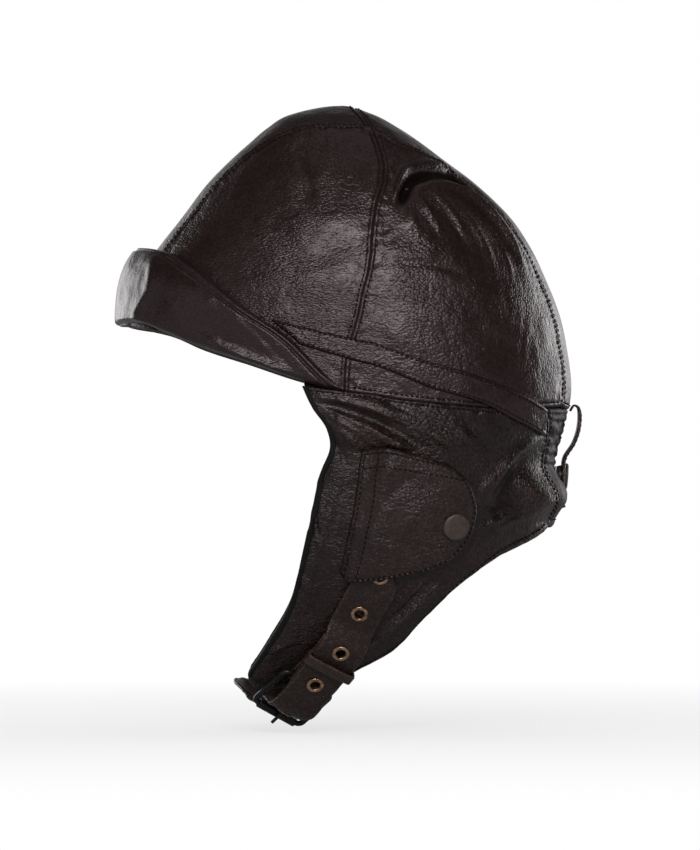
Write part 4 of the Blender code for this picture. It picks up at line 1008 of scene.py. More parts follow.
def tuck(points, normals, ridge):
    """Adds rows above a sheet that run up and in under its upper neighbour."""
    up = unit(points[0] - points[1])
    rows = np.array([points[0] + up * rise * MM - normals[0] * sink * MM for rise, sink in TUCK_ROWS])
    extra = len(rows)
    return (np.concatenate((rows, points)), np.concatenate((np.repeat(normals[:1], extra, 0), normals)),
            np.concatenate((np.repeat(ridge[:1], extra, 0), ridge)))


def drill(item, frame_at, radius, reach, sides):
    """Cuts a round hole through a piece, along a frame's Z and over a reach either way."""
    cut(item, turned("drill", ((0, reach), (radius, reach), (radius, -reach), (0, -reach)), frame_at, sides))


def open_ear(item, hand):
    """Cuts the oval ear opening through a sheet of the flap."""
    oval = Matrix.Diagonal((1, PORT_WIDTH / PORT_LENGTH, 1, 1))
    drill(item, surface_frame(PORT_SHARE, LEATHER_LIFT, hand) @ oval, PORT_LENGTH / 2, 5 * LEATHER_LIFT, 64)


def ear_flaps(looks, thread):
    """Both ear flaps with their linings and edge bindings."""
    grid = flap_grid()
    for side, hand in SIDES:
        points, normals, ridge = grow(grid, hand, LEATHER_LIFT, (None, SEAM, SEAM, HEM))
        tucked = tuck(points, normals, ridge)
        item = slab(f"{side}_ear_flap_skin", *tucked[:2], LEATHER_THICK, tucked[2])
        open_ear(item, hand)
        dress(item, looks["flap"], "cap", "cap_leather", f"{side}_ear_flap")
        for edge, style, trim in ((2, SEAM, 4 * MM), (3, HEM, 5 * MM), (1, SEAM, 3 * MM)):
            sew(thread, points, normals, edge, (style["groove"] * MM,), trim)

        base = form_points(grid[:-4, :-1, 0], grid[:-4, :-1, 1], hand)
        out = normals_of(base)
        inner = base + out * (LINING_THICK + lining_dip(base, hand))[..., None]
        lining = slab(f"{side}_flap_lining_skin", inner, out, LINING_THICK * 0.8)
        open_ear(lining, hand)
        dress(lining, looks["lining_cloth"], "cap", "lining_cloth", f"{side}_flap_lining")
        binding(side, points, normals, looks)


def sweep(name, path, sides, outs, loop, closed=False, ridge=None):
    """A closed section, as pairs across and out, swept along a path."""
    path, sides, outs = np.array(path), np.array(sides), np.array(outs)
    loop = np.array(loop)
    if loop.ndim == 2:
        loop = np.broadcast_to(loop, (len(path),) + loop.shape).copy()
    rings = path[:, None] + sides[:, None] * loop[..., :1] + outs[:, None] * loop[..., 1:]
    if ridge is not None:
        ridge = np.broadcast_to(ridge, rings.shape[:2]).reshape(-1)
    return face_outward(make_mesh(name, rings.reshape(-1, 3), tube_faces(*rings.shape[:2], closed),
                                  ridge=ridge))


def binding(side, points, normals, looks):
    """The black tape folded over the flap's face edge."""
    rim = points[:, 0]
    ahead, out = unit(rim - points[:, 3]), normals[:, 0]
    top, low = 0.5 * MM, LEATHER_LIFT + 0.45 * MM
    face, reach = 1.3 * MM, 1.5 * MM
    loop = ((-face, top * 0.4), (-face * 0.8, top), (0, top * 1.3), (reach * 0.7, top * 0.8),
            (reach, -0.6 * MM), (reach, -low + 0.6 * MM), (reach * 0.6, -low), (-face, -low),
            (-face, -low + 0.7 * MM), (0.3 * MM, -low + 0.9 * MM), (0.4 * MM, -0.9 * MM),
            (-0.2 * MM, -0.3 * MM))
    item = sweep(f"{side}_edge_binding_skin", rim, ahead, out, loop)
    dress(item, looks["black_binding"], "cap", "black_binding", f"{side}_edge_binding")


# Where the nape panel is gathered, how far apart its gathers lie, and how high they and its waves are.
GATHER_LOW, GATHER_LOW_RUN, GATHER_TOP, GATHER_TOP_RUN = -168 * MM, 10 * MM, -138 * MM, 4 * MM
GATHER_PITCH, GATHER_SHAKE = 5.2 * MM, 2.6
GATHER_WAVE, GATHER_CREASE, GATHER_SINK, NAPE_WAVE = 0.45 * MM, 1.3 * MM, 0.5 * MM, 0.25 * MM


def nape(looks, thread):
    """The gathered panel between the flaps, and its lining."""
    edge = places(FLAP_REAR_SHARES)
    rows, columns = 90, 80
    line = curve(edge, rows)
    across = np.linspace(-1, 1, columns + 1)
    turn = np.abs(across)[None] * line[:, :1]
    level = np.broadcast_to(line[:, 1:], turn.shape)
    base = form_points(turn, level, np.where(across < 0, LEFT, RIGHT))
    normals = normals_of(base)
    z = base[..., 2]
    gather = smooth((z - GATHER_LOW) / GATHER_LOW_RUN) * smooth((GATHER_TOP - z) / GATHER_TOP_RUN + 0.4)
    wave = np.sin(z / GATHER_PITCH * 2 * np.pi + GATHER_SHAKE * noise_field(base, 9 * MM))
    spread = base.copy()
    spread[..., 0] = 0
    fine = crease_field(spread * np.array((1, 0.35, 1.0)), 3 * MM, 4.4)
    height = gather * (GATHER_WAVE * wave + GATHER_CREASE * fine - GATHER_SINK)
    height = height + NAPE_WAVE * noise_field(base, 8 * MM, 2.2) + skirt_flare(base)
    points = base + normals * LEATHER_LIFT
    height = height + edge_relief(points, (SEAM, SEAM, SEAM, HEM))
    points = points + normals * height[..., None]
    tucked = tuck(points, normals, height / MM)
    item = slab("nape_panel_skin", *tucked[:2], LEATHER_THICK, tucked[2])
    # The nape's leather is a darker copy: painted shade.
    dress(item, looks["nape"], "cap", "cap_leather", "nape_panel")
    for edge, style, trim in ((3, HEM, 2 * MM), (0, SEAM, 4 * MM), (1, SEAM, 4 * MM)):
        sew(thread, points, normals, edge, (style["groove"] * MM,), trim)
    inner = base[:-4] + normals[:-4] * LINING_THICK
    lining = slab("nape_lining_skin", inner, normals[:-4], LINING_THICK * 0.8)
    dress(lining, looks["lining_cloth"], "cap", "lining_cloth", "nape_lining")


def goggle_bands(looks, thread):
    """The strip sewn along each side for the goggle strap."""
    columns, rows = 150, 14
    top = sample(GOGGLE_TOP_SHARES, columns, GOGGLE_LIFT)
    low = sample(GOGGLE_LOW_SHARES, columns, GOGGLE_LIFT)
    share = np.linspace(0, 1, rows + 1)[:, None, None]
    grid = top[None] * (1 - share) + low[None] * share
    for side, hand in SIDES:
        points, normals, ridge = grow(grid, hand, GOGGLE_LIFT, (TURNED, None, TURNED, TURNED), 0.8)
        item = slab(f"{side}_goggle_band_skin", points, normals, TRIM_THICK, ridge)
        dress(item, looks["cap_leather"], "cap", "cap_leather", f"{side}_goggle_band")
        for edge in (0, 2, 3):
            sew(thread, points, normals, edge, (TURNED["groove"] * MM,), TURNED["groove"] * MM)


# Side view places, in metres, of the corner between the band's front and its sides.
BROW_CORNER = np.array(((-94.0, -92.7), (-88.5, -82.6), (-85.5, -67.9), (-83.0, -60.0))) * MM
# Its creases, laid out as the folds above.
BROW_FOLDS = (
    (-0.22, 1.5, -50, -92, -40, -101.5, -29, -113, -18, -123),
    (2.0, 3.0, -72, -101, -52, -110.5, -36, -117.5, -22, -122.5),
    (0.7, 4.5, -80, -75, -68, -84, -56, -93),
)


# Shape of the turned-up cuff: lengths, and the shares of its way back over which they fade.
BROW_BASE = LEATHER_LIFT + 0.8 * MM + 2.2 * MM
BROW_INSIDE = LEATHER_LIFT + 0.5 * MM
BROW_BULGE, BROW_FLATTEN, FLATTEN_BACK = 3.5 * MM, 1.6 * MM, 0.12
BROW_ROLL = 2.6 * MM
BROW_LIP, BROW_FRONT_LIP = 1.8 * MM, 2.2 * MM
GROOVE_DEPTH, GROOVE_PLACE, BROW_GROOVE_WIDTH = 0.9 * MM, 3.1 * MM, 0.7 * MM
BROW_FLARE, BROW_PUFF, PUFF_BACK = 3.2 * MM, 5.3 * MM, 0.20
CORNER_RISE, CORNER_ROUND, CORNER_WIDTH = 2.6 * MM, 1.3 * MM, 3.6 * MM
BROW_ROWS, BROW_COLUMNS, BROW_INNER_ROWS = 90, 190, 13


def brow_face(form, share, back, hand):
    """Lift of the cuff's outer face, with its bulge, flare, front corner and creases."""
    bulge = 0.7 * np.sin(np.pi * (0.15 + 0.75 * share)) * (1 - back) ** 0.7
    flat = 1 - 0.8 * bell(back, FLATTEN_BACK)
    face = BROW_BASE + BROW_BULGE * bulge * flat - BROW_FLATTEN * (1 - flat) * (1 - share)
    flare = BROW_FLARE * share * smooth((back - 0.10) / 0.25) * smooth((1 - back) / 0.5)
    flare = flare + BROW_PUFF * bell(back, PUFF_BACK) * smooth(share / 0.85)
    seen = form + normals_of(form) * (face + flare)[..., None]
    away = seen[..., 0] - np.interp(seen[..., 2], BROW_CORNER[:, 1], BROW_CORNER[:, 0])
    corner = CORNER_RISE * np.exp(-(np.sqrt(away ** 2 + CORNER_ROUND ** 2) - CORNER_ROUND) / CORNER_WIDTH)
    corner = corner * smooth((1 - share) / 0.25)
    return face + flare + corner + fold_relief(seen[..., 0], seen[..., 2], hand, BROW_FOLDS)


def brow_half(low, top, share, hand):
    """Places, directions out and lifts of the cuff, from its front centre to one temple."""
    back = np.linspace(0, 1, BROW_COLUMNS + 1)[:, None]
    turn, level = (low[:, None, axis] * (1 - share) + top[:, None, axis] * share for axis in (0, 1))
    form = form_points(turn, level, hand)
    height = np.linalg.norm(form[:, 0] - form[:, BROW_ROWS], axis=-1)[:, None]
    face = brow_face(form, share, back, hand)
    from_top = (1 - share) * height
    roll = round_end(share * height, np.minimum(BROW_ROLL, height * 0.45))
    crest = round_end(from_top, np.minimum(BROW_LIP, height * 0.3) + BROW_FRONT_LIP * bell(back, PUFF_BACK))
    groove = GROOVE_DEPTH * bell(from_top - GROOVE_PLACE, BROW_GROOVE_WIDTH)
    normals = normals_of(form)
    wrinkle = 0.35 * MM * noise_field(form, 16 * MM, 9.0) + 0.10 * MM * noise_field(form, 5 * MM, 5.0)
    lift = BROW_INSIDE + (face - BROW_INSIDE) * roll * crest - groove + wrinkle * roll
    lift = np.where(np.arange(len(share))[None] > BROW_ROWS, BROW_INSIDE, lift)
    return form + normals * lift[..., None], lift


def brow_band(looks):
    """The turned-up cuff round the brow, from temple to temple."""
    front = [np.array((math.pi, level_at(share))) for share in (BROW_FRONT_LOW_SHARE, BROW_FRONT_TOP_SHARE)]
    low, top = (curve(np.vstack((start[None], places(shares, BROW_BASE))), BROW_COLUMNS)
                for start, shares in zip(front, (BROW_LOW_SHARES, BROW_TOP_SHARES)))
    even = np.linspace(0, 1, BROW_ROWS + 1)
    share = np.concatenate((smooth(even) * 0.35 + even * 0.65, np.linspace(1, 0, BROW_INNER_ROWS)))
    halves = [brow_half(low, top, share, hand) for hand in (LEFT, RIGHT)]
    points, lifts = (np.concatenate((left[:0:-1], right)) for left, right in zip(*halves))
    item = make_mesh("brow_band_skin", points.reshape(-1, 3), tube_faces(*points.shape[:2]),
                     ridge=(lifts.reshape(-1) - BROW_BASE) / MM * 0.3)
    face_outward(item, 0.02 * MM)
    dress(item, looks["brow_leather"], "cap", "brow_leather", "brow_band")


# Stitch rows inside the cover's edge: two along its hinge and its top, and one along the rest.
COVER_ROWS = (1.5 * MM, 8.2 * MM)
# Its creases, laid out as the folds above.
COVER_FOLDS = (
    (1.0, 2.8, 25, -158, 17, -164, 10, -172, 7, -181),
    (-0.7, 2.6, 30, -163, 22, -171, 15, -180),
    (0.5, 4.0, 40, -172, 30, -182, 22, -194),
    (0.5, 4.0, 6, -186, 14, -195, 26, -201),
)


def ear_covers(looks):
    """The D-shaped cover over each ear opening, with its stitches."""
    columns, rows = 90, 96
    top = sample(COVER_TOP_SHARES, columns, COVER_LIFT)
    low = sample(COVER_LOW_SHARES, columns, COVER_LIFT)
    front = sample((COVER_TOP_SHARES[0], COVER_LOW_SHARES[0]), rows, COVER_LIFT)
    rear = sample(COVER_FREE_SHARES, rows, COVER_LIFT)
    grid = patch(top, low, front, rear)
    width = (COVER_FREE_SHARES[2][0] - COVER_TOP_SHARES[0][0]) * HEAD_REACH
    rise = smooth(crowded(columns) * width / COVER_RAMP)[None]
    hinge_top = LEATHER_LIFT + LAYER_GAP + COVER_THICK
    lift = hinge_top + (COVER_LIFT + COVER_THICK - hinge_top) * rise
    for side, hand in SIDES:
        thread = Thread(f"{side}_cover_stitches")
        dense = crowd(grid)
        spots = form_points(dense[..., 0], dense[..., 1], hand)
        soft = fold_relief(spots[..., 0], spots[..., 2], hand, COVER_FOLDS)
        points, normals, ridge = grow(grid, hand, lift + soft, (TURNED, TURNED, TURNED, TURNED), 0.25)
        item = slab(f"{side}_ear_cover_skin", points, normals, COVER_THICK, ridge)
        dress(item, looks["cover"], f"{side}_ear_cover", "cap_leather", f"{side}_ear_cover")
        for edge in range(4):
            sew(thread, points, normals, edge, COVER_ROWS if edge in (0, 2) else COVER_ROWS[:1], 1.6 * MM)
        thread.finish(looks["thread"], f"{side}_ear_cover")
        snap_cap(f"{side}_ear", surface_frame(SNAP_SHARE, COVER_LIFT, hand), COVER_THICK,
                 f"{side}_ear_cover", looks)


def snap_cap(name, frame_at, thick, body, looks):
    """The cap of one snap, whose socket, stud and post are the part's own."""
    top = COVER_LIFT + thick + LAYER_GAP + SNAP_DOME
    profile = [(share * SNAP_RADIUS, top - depth * MM) for share, depth in SNAP_PROFILE]
    cap = turned(f"{name}_snap_cap_skin", profile, frame_at, 64)
    dress(cap, looks["snap_metal"], body, "snap_metal", f"{name}_snap_cap")


class StrapLine:
    """The line that the chin strap follows on the left flap, and the buckle's own frame."""

    def __init__(self):
        self.bar_lift = LEATHER_LIFT + LAYER_GAP * 2 + CHAPE_THICK + BAR_RADIUS + RUN_CLEAR
        line = curve(places(STRAP_LINE_SHARES, 0), 60)
        self.base = form_points(line[:, 0], line[:, 1], LEFT)
        self.lengths = lengths_of(self.base)
        reach, drop = BUCKLE_PLACE_SHARE
        target = place_under(reach * HEAD_REACH, -drop * FORM_HEIGHT, self.bar_lift)
        want = form_points(target[0], target[1], LEFT)
        nearest = int(np.argmin(np.linalg.norm(self.base - want, axis=1)))
        self.bar_length = self.lengths[nearest]
        self.origin, self.along, self.side, self.out = self.at(0.0)
        self.origin = self.origin + self.out * self.bar_lift

    def at(self, distance):
        """Place and directions on the form at a distance past the buckle's hinge bar."""
        length = self.bar_length + distance
        step = 2 * LEATHER_LIFT
        behind, point, ahead = (at_length(place, self.lengths, self.base)
                                for place in (length - step, length, length + step))
        along = unit(ahead - behind)
        side = unit(np.cross(along, normals_of(point[None])[0]))
        return point, along, side, unit(np.cross(side, along))

    def local(self, along, out, side=0.0):
        """World place of a point given along, out of and across the buckle."""
        return self.origin + self.along * along + self.out * out + self.side * side

    def on_flap(self, distance, lift):
        """Place and side direction at a distance and lift on the flap."""
        point, _, side, out = self.at(distance)
        return point + out * lift, side


def outs_of(points, sides):
    """Directions out of a strip of leather at its places."""
    return unit(np.cross(sides, unit(np.gradient(points, axis=0))))


def strap_path(line, count):
    """Places, side directions and out directions along the chin strap."""
    half = STRAP_THICK / 2
    low = LEATHER_LIFT + 2 * LAYER_GAP + half
    raised = low + 2 * CHAPE_THICK + KEEPER_THICK + 4 * LAYER_GAP
    over_bar = BAR_RADIUS + 2 * RUN_CLEAR + 2 * PRONG_RADIUS + LAYER_GAP + half
    under = ROLLER_RADIUS + ROLLER_CLEAR + half
    path = []
    for share, rise in TAIL_RISE_SHARES:
        path.append(line.on_flap(-share * STRAP_TAIL, low + (raised - low) * rise))
    for share, bulge in BULGE_SHARES:
        path.append((line.local(share * BUCKLE_LENGTH, over_bar + bulge * STRAP_BULGE), line.side))
    for share, dive in DIVE_SHARES:
        path.append((line.local(share * BUCKLE_LENGTH, dive * (over_bar if dive > 0 else under)), line.side))
    mirror = line.side * np.array((1, -1, 1))
    for index, (reach, half_share, drop) in enumerate(CHIN_ROUTE_SHARES):
        way = index / (len(CHIN_ROUTE_SHARES) - 1)
        side = line.side * (1 - way) + mirror * way
        place = np.array((reach * HEAD_REACH, half_share * HALF_WIDTH, -drop * FORM_HEIGHT))
        path.append((place, unit(side)))
    for share in FAR_END_SHARES:
        place, side = line.on_flap(share * STRAP_TAIL, low)
        path.append((place * np.array((1, -1, 1)), side * np.array((1, -1, 1))))
    controls = np.array([np.concatenate((place, side * HEAD_REACH)) for place, side in path])
    coarse = curve(controls, 60, 3)
    lengths = lengths_of(coarse[:, :3])
    fine = at_length(np.linspace(0, lengths[-1], count + 1), lengths, coarse)
    for _ in range(2):
        fine[1:-1] = (fine[:-2] + 2 * fine[1:-1] + fine[2:]) / 4
    points, sides = fine[:, :3], unit(fine[:, 3:])
    outs = outs_of(points, sides)
    return points, sides, outs if outs[0] @ line.out > 0 else -outs


# Points across each face of a leather strip's section, and round each of its edges.
FACE_POINTS, EDGE_POINTS = 13, 5
LOOP_POINTS = 2 * (FACE_POINTS + EDGE_POINTS)
# Ridge value along a strip's edges, which the leather lightens: rubbed wear and a painted highlight.
WEAR_AND_HIGHLIGHT_RIDGE = 2.2


def band_loop(width, thick, bulge=0.0):
    """Section of a leather strip: flat faces and rounded edges."""
    half, side = width / 2, thick / 2
    top = [(share * (half - side), side + bulge * (1 - share * share))
           for share in np.linspace(-1, 1, FACE_POINTS)]
    edge = [(half - side + side * math.cos(turn), side * math.sin(turn))
            for turn in map(math.radians, np.linspace(60, -60, EDGE_POINTS))]
    return top + edge + [(-across, -side) for across, _ in top] + [(-across, -out) for across, out in edge]


def wear_and_highlight_edges(reach=0):
    """Ridge values round a leather strip's section, for rubbed wear and a painted highlight along its edges
    and a reach of points inward.
    """
    values = np.zeros(LOOP_POINTS)
    values[:1 + reach] = values[FACE_POINTS - 1 - reach:FACE_POINTS + EDGE_POINTS + 1] = WEAR_AND_HIGHLIGHT_RIDGE
    values[2 * FACE_POINTS + EDGE_POINTS - 1:] = WEAR_AND_HIGHLIGHT_RIDGE
    return values


# The photo shows the free eyelets a little further up the strap than an even pitch puts them.
EYELET_SHIFT = 3.2 * MM
STRAP_STEPS = 420
STRAP_TIP = 10 * MM
SEED_WAVE, SEED_CREASE = 21.0, 25.0
# Where the buckle squeezes the strap narrower, along and out of the buckle, and by what share.
SQUEEZE_START, SQUEEZE_END, SQUEEZE_RUN, SQUEEZE_DEPTH = 9 * MM, 36 * MM, 8 * MM, -6 * MM
SQUEEZE_REAR, SQUEEZE_BOTH = 0.26, 0.04


def loops_for(points, width, thick):
    """A leather strip's section at each of its places, to be changed one by one."""
    return np.broadcast_to(np.array(band_loop(width, thick)), (len(points), LOOP_POINTS, 2)).copy()


def lengthened_tip(points, sides, outs):
    """The strap with its tip run on straight, past its last eyelet."""
    step = points[0] - points[1]
    extra = int(np.ceil(EYELET_SHIFT / np.linalg.norm(step)))
    points = np.concatenate((points[0] + step * np.arange(extra, 0, -1)[:, None], points))
    return points, *(np.concatenate((np.repeat(rows[:1], extra, 0), rows)) for rows in (sides, outs))


def strap(line, looks):
    """The chin strap, with its places, side directions and its eyelets' frames."""
    points, sides, outs = lengthened_tip(*strap_path(line, STRAP_STEPS))
    loops = loops_for(points, STRAP_WIDTH, STRAP_THICK)
    lengths = lengths_of(points)
    loops[..., 0] *= round_end(lengths, STRAP_TIP, 0.05)[:, None]
    local = points - line.origin
    along = local @ line.along
    over = (local @ line.out > SQUEEZE_DEPTH) & (points[:, 1] < 0)
    begins, ends = smooth((along - SQUEEZE_START) / SQUEEZE_RUN), smooth((SQUEEZE_END - along) / SQUEEZE_RUN)
    gather = begins * ends * over
    rear = np.sign(loops[..., 0]) == np.sign(line.side @ np.array((1.0, 0, 0)))
    loops[..., 0] *= 1 - SQUEEZE_REAR * gather[:, None] * rear - SQUEEZE_BOTH * gather[:, None]
    crease = 0.32 * MM * noise_field(points, 3.5 * MM, SEED_CREASE) * smooth((lengths - 52 * MM) / (8 * MM))
    points = points + outs * (0.18 * MM * noise_field(points, 9 * MM, SEED_WAVE))[:, None]
    spots = points[:, None] + sides[:, None] * loops[..., :1]
    tight = 0.25 + 0.75 * smooth((lengths - 48 * MM) / (10 * MM))[:, None]
    fine = noise_field(spots * np.array((1.0, 1.0, 0.7)), 5.0 * MM, SEED_CREASE)
    loops[..., 1] += 0.55 * MM * fine * tight + crease[:, None]
    # Its edges and wrinkle crests are lightened: rubbed wear and a painted highlight.
    item = sweep("chin_strap_skin", points, sides, outs, loops, ridge=wear_and_highlight_edges() + 0.9 * fine * tight)
    rings = eyelet_frames(line, points, sides, lengths)
    for ring in rings:
        drill(item, ring, EYELET_BORE + EYELET_WALL, 3 * STRAP_THICK, 40)
    dress(item, looks["strap_leather"], "cap", "strap_leather", "chin_strap")
    return points, sides, rings


def eyelet_frames(line, points, sides, lengths):
    """Frames of the eyelets down the strap's tail, the lowest one on the prong."""
    def at(length):
        ends = [at_length(length + step, lengths, points) for step in (-BAR_RADIUS, BAR_RADIUS)]
        return (at_length(length, lengths, points), Vector(ends[1] - ends[0]).normalized(),
                Vector(at_length(length, lengths, sides)).normalized())

    prong_height = BAR_RADIUS + RUN_CLEAR + PRONG_RADIUS * 2 + LAYER_GAP / 2
    local = points - line.origin
    meets = (local @ line.along > BUCKLE_LENGTH * PRONG_MEET_SHARE) & (local @ line.out < prong_height)
    engaged = lengths[int(np.argmax(meets))]
    rings = []
    for index in range(EYELET_COUNT):
        spot = engaged - index * EYELET_PITCH - (EYELET_SHIFT if index else 0)
        place, along, side = at(spot)
        out = along.cross(side).normalized()
        if out.dot(Vector(line.out)) < 0:
            out = -out
        bend = max(Vector(at(spot + reach)[0] - place).dot(out)
                   for reach in (-EYELET_RADIUS, 0, EYELET_RADIUS))
        rings.append(frame_on(Vector(place) + out * max(bend, 0), out, along))
    return rings


def eyelets(rings, looks):
    """Rolled brass eyelets."""
    top = STRAP_THICK / 2
    bore, rim, roll = EYELET_BORE - 0.05 * MM, EYELET_RADIUS, 0.62 * MM
    profile = [(rim, top + 0.02 * MM)]
    crest = (bore + rim) / 2
    for step in range(11):
        angle = math.pi * step / 10
        profile.append((crest + (rim - bore) / 2 * math.cos(angle), top + 0.1 * MM + roll * math.sin(angle)))
    profile += [(bore, -top), (bore + 0.3 * MM, -top - 0.25 * MM), (bore + 1.2 * MM, -top - 0.2 * MM),
                (bore + 1.2 * MM, -top + 0.1 * MM), (bore + 0.35 * MM, -top + 0.1 * MM),
                (bore + 0.35 * MM, top)]
    for index, ring in enumerate(rings):
        item = turned(f"strap_eyelet_{index + 1}_skin", profile, ring, 44)
        dress(item, looks["eyelet_brass"], "cap", "eyelet_brass", f"strap_eyelet_{index + 1}")


def keeper(line, strap_line, looks):
    """The leather loop that holds the strap's tail down."""
    points, sides, _ = strap_line
    near, _ = line.on_flap(-KEEPER_PLACE, LEATHER_LIFT + STRAP_THICK + 2 * CHAPE_THICK + KEEPER_THICK)
    index = int(np.argmin(np.linalg.norm(points - near, axis=1)))
    centre, side = points[index], sides[index]
    along = unit(points[index + 3] - points[index - 3])
    out = unit(np.cross(along, side))
    if out @ line.out < 0:
        out = -out
    wide = STRAP_WIDTH / 2 + 2 * LAYER_GAP + KEEPER_THICK / 2
    tall = STRAP_THICK / 2 + 1.5 * LAYER_GAP + KEEPER_THICK / 2
    upper = tall + EYELET_FLANGE + LAYER_GAP
    ring = []
    for share in np.linspace(-1, 1, 25):
        ring.append((share * (wide - 0.6 * MM), upper + 0.45 * MM * (1 - share ** 2)))
    ring += [(wide - 0.2 * MM, upper - 0.35 * MM), (wide, 0), (wide - 0.2 * MM, 0.35 * MM - tall)]
    for share in np.linspace(1, -1, 13):
        ring.append((share * (wide - 0.6 * MM), -tall))
    ring += [(0.2 * MM - wide, 0.35 * MM - tall), (-wide, 0), (0.2 * MM - wide, upper - 0.35 * MM)]
    ring = np.array(ring)
    path = centre + side * ring[:, :1] + out * ring[:, 1:]
    away = unit(np.cross(along[None], unit(np.roll(path, -1, axis=0) - np.roll(path, 1, axis=0))))
    # A lighter copy of the leather paints a sheen on the keeper, and its wider edges carry a stronger painted
    # highlight with rubbed wear.
    item = sweep("strap_keeper_skin", path, np.repeat(along[None], len(path), axis=0), away,
                 band_loop(KEEPER_WIDTH, KEEPER_THICK, -0.55 * MM), closed=True, ridge=1.3 * wear_and_highlight_edges(3))
    dress(item, looks["keeper"], "cap", "strap_leather", "strap_keeper")


def chape(line, looks):
    """The short strap that folds round the hinge bar and is sewn to the left flap."""
    low = LEATHER_LIFT + LAYER_GAP + CHAPE_THICK / 2
    high = low + CHAPE_THICK + LAYER_GAP
    wrap = BAR_RADIUS + RUN_CLEAR + CHAPE_THICK / 2
    path = [line.on_flap(-CHAPE_LENGTH * share, low)[0] for share in CHAPE_LOW_SHARES]
    for step in range(17):
        angle = math.pi * (step / 16 - 0.5)
        path.append(line.local(wrap * math.cos(angle), wrap * math.sin(angle)))
    path += [line.on_flap(-CHAPE_LENGTH * share, high)[0] for share in CHAPE_HIGH_SHARES]
    path = np.array(path)
    sides = np.repeat(np.array(line.side)[None], len(path), axis=0)
    item = sweep("buckle_chape_skin", path, sides, outs_of(path, sides), band_loop(CHAPE_WIDTH, CHAPE_THICK),
                 ridge=wear_and_highlight_edges())
    reach = 3 * wrap
    half_slot = PRONG_SLOT / 2
    corners = [line.local(wrap * 0.2 + reach * end, 2 * wrap * up, half_slot * side)
               for end in (0, 1) for up in (-1, 1) for side in (-1, 1)]
    faces = [(0, 1, 3, 2), (4, 6, 7, 5), (0, 4, 5, 1), (2, 3, 7, 6), (0, 2, 6, 4), (1, 5, 7, 3)]
    cut(item, face_outward(make_mesh("prong_slot_cutter", corners, faces)))
    dress(item, looks["strap_leather"], "cap", "strap_leather", "buckle_chape")


def goggle_tab(looks):
    """The strap tab on the nape: sewn at its top, bulging out and closed by a snap."""
    level = level_at(NAPE_SNAP_SHARE)
    base = form_points(0.0, level, LEFT)
    out = normals_of(base[None])[0]
    path = [np.array((reach * HEAD_REACH, 0, -drop * FORM_HEIGHT)) for reach, drop in TAB_LOOP_SHARES]
    flat = base + out * (COVER_LIFT + TAB_THICK / 2)
    down = np.cross(out, np.array((0, 1, 0)))
    down = down if down[2] < 0 else -down
    for distance in (-TAB_FLAT_SHARE * SNAP_RADIUS, 0, SNAP_RADIUS, SNAP_RADIUS + TAB_TAIL / 2,
                     SNAP_RADIUS + TAB_TAIL):
        path.append(flat + down * distance)
    path[-1] = path[-1] + out * TAB_THICK
    points = curve(path, 110)
    sides = np.repeat(np.array((0.0, 1.0, 0.0))[None], len(points), axis=0)
    outs = outs_of(points, sides)
    if outs[60] @ out < 0:
        outs = -outs
    loops = loops_for(points, TAB_WIDTH, TAB_THICK)
    share = np.linspace(0, 1, len(points))
    inner = round_end(1 - share, 0.16, 0.08) * (0.72 + 0.28 * smooth((share - 0.05) / 0.25))
    loops[..., 0] *= inner[:, None]
    loops[..., 1] *= (0.55 + 0.45 * smooth((share - 0.06) / 0.10))[:, None]
    item = sweep("goggle_tab_skin", points, sides, outs, loops, ridge=wear_and_highlight_edges())
    dress(item, looks["strap_leather"], "goggle_tab", "strap_leather", "goggle_tab")
    thread = Thread("goggle_tab_stitches")
    keep = (share > 0.15) & (share < 0.93)
    upper = points + outs * (TAB_THICK / 2 - THREAD)
    for hand in (-1, 1):
        edge = upper + sides * hand * ((TAB_WIDTH / 2) * inner - 2.0 * MM)[:, None]
        thread.row(edge[keep], outs[keep])
    thread.finish(looks["thread"], "goggle_tab")
    snap_cap("nape", frame_on(base, out), TAB_THICK, "goggle_tab", looks)


# Where the section of an open bar leans at its start: a direction that no bar here runs in.
BAR_LEAN = (0.3, 0.8, 0.5)


def tube_points(name, path, radius, sides=14, closed=False):
    """A round bar along the places."""
    path = np.array(path)
    tangent = unit(np.roll(path, -1, axis=0) - np.roll(path, 1, axis=0) if closed
                   else np.gradient(path, axis=0))
    lean = np.cross(tangent, path - path.mean(axis=0)).mean(axis=0) if closed else np.array(BAR_LEAN)
    side = []
    for direction in tangent:
        lean = unit(lean - direction * (lean @ direction))
        side.append(lean)
    side = np.array(side)
    angles = np.arange(sides) * 2 * math.pi / sides
    loop = np.stack((np.cos(angles), np.sin(angles)), axis=-1) * radius
    return sweep(name, path, side, np.cross(tangent, side), loop, closed)


# Side, end and first angle of the buckle frame's corners.
FRAME_CORNERS = ((1, 0, -90), (1, 1, 0), (-1, 1, 90), (-1, 0, 180))
FRAME_HALF = BUCKLE_INNER / 2 + BAR_RADIUS
FRAME_CORNER = BAR_RADIUS * 2
ROLLER_EDGE = 0.25 * MM
PRONG_WRAP_STEPS = 24
PRONG_START_DEG, PRONG_WRAP_DEG = -50, 220


def buckle_frame(line, looks):
    """The rounded frame round its hinge bar and its end bar."""
    outline = []
    for across, along, first in FRAME_CORNERS:
        middle = BUCKLE_LENGTH - FRAME_CORNER if along else FRAME_CORNER
        for step in range(9):
            angle = math.radians(first + 90 / 8 * step)
            outline.append(line.local(middle + FRAME_CORNER * math.sin(angle), 0,
                                      across * (FRAME_HALF - FRAME_CORNER) + FRAME_CORNER * math.cos(angle)))
    item = tube_points("buckle_frame_skin", outline, BAR_RADIUS, 18, closed=True)
    dress(item, looks["buckle_metal"], "buckle_frame", "buckle_metal", "buckle_frame")


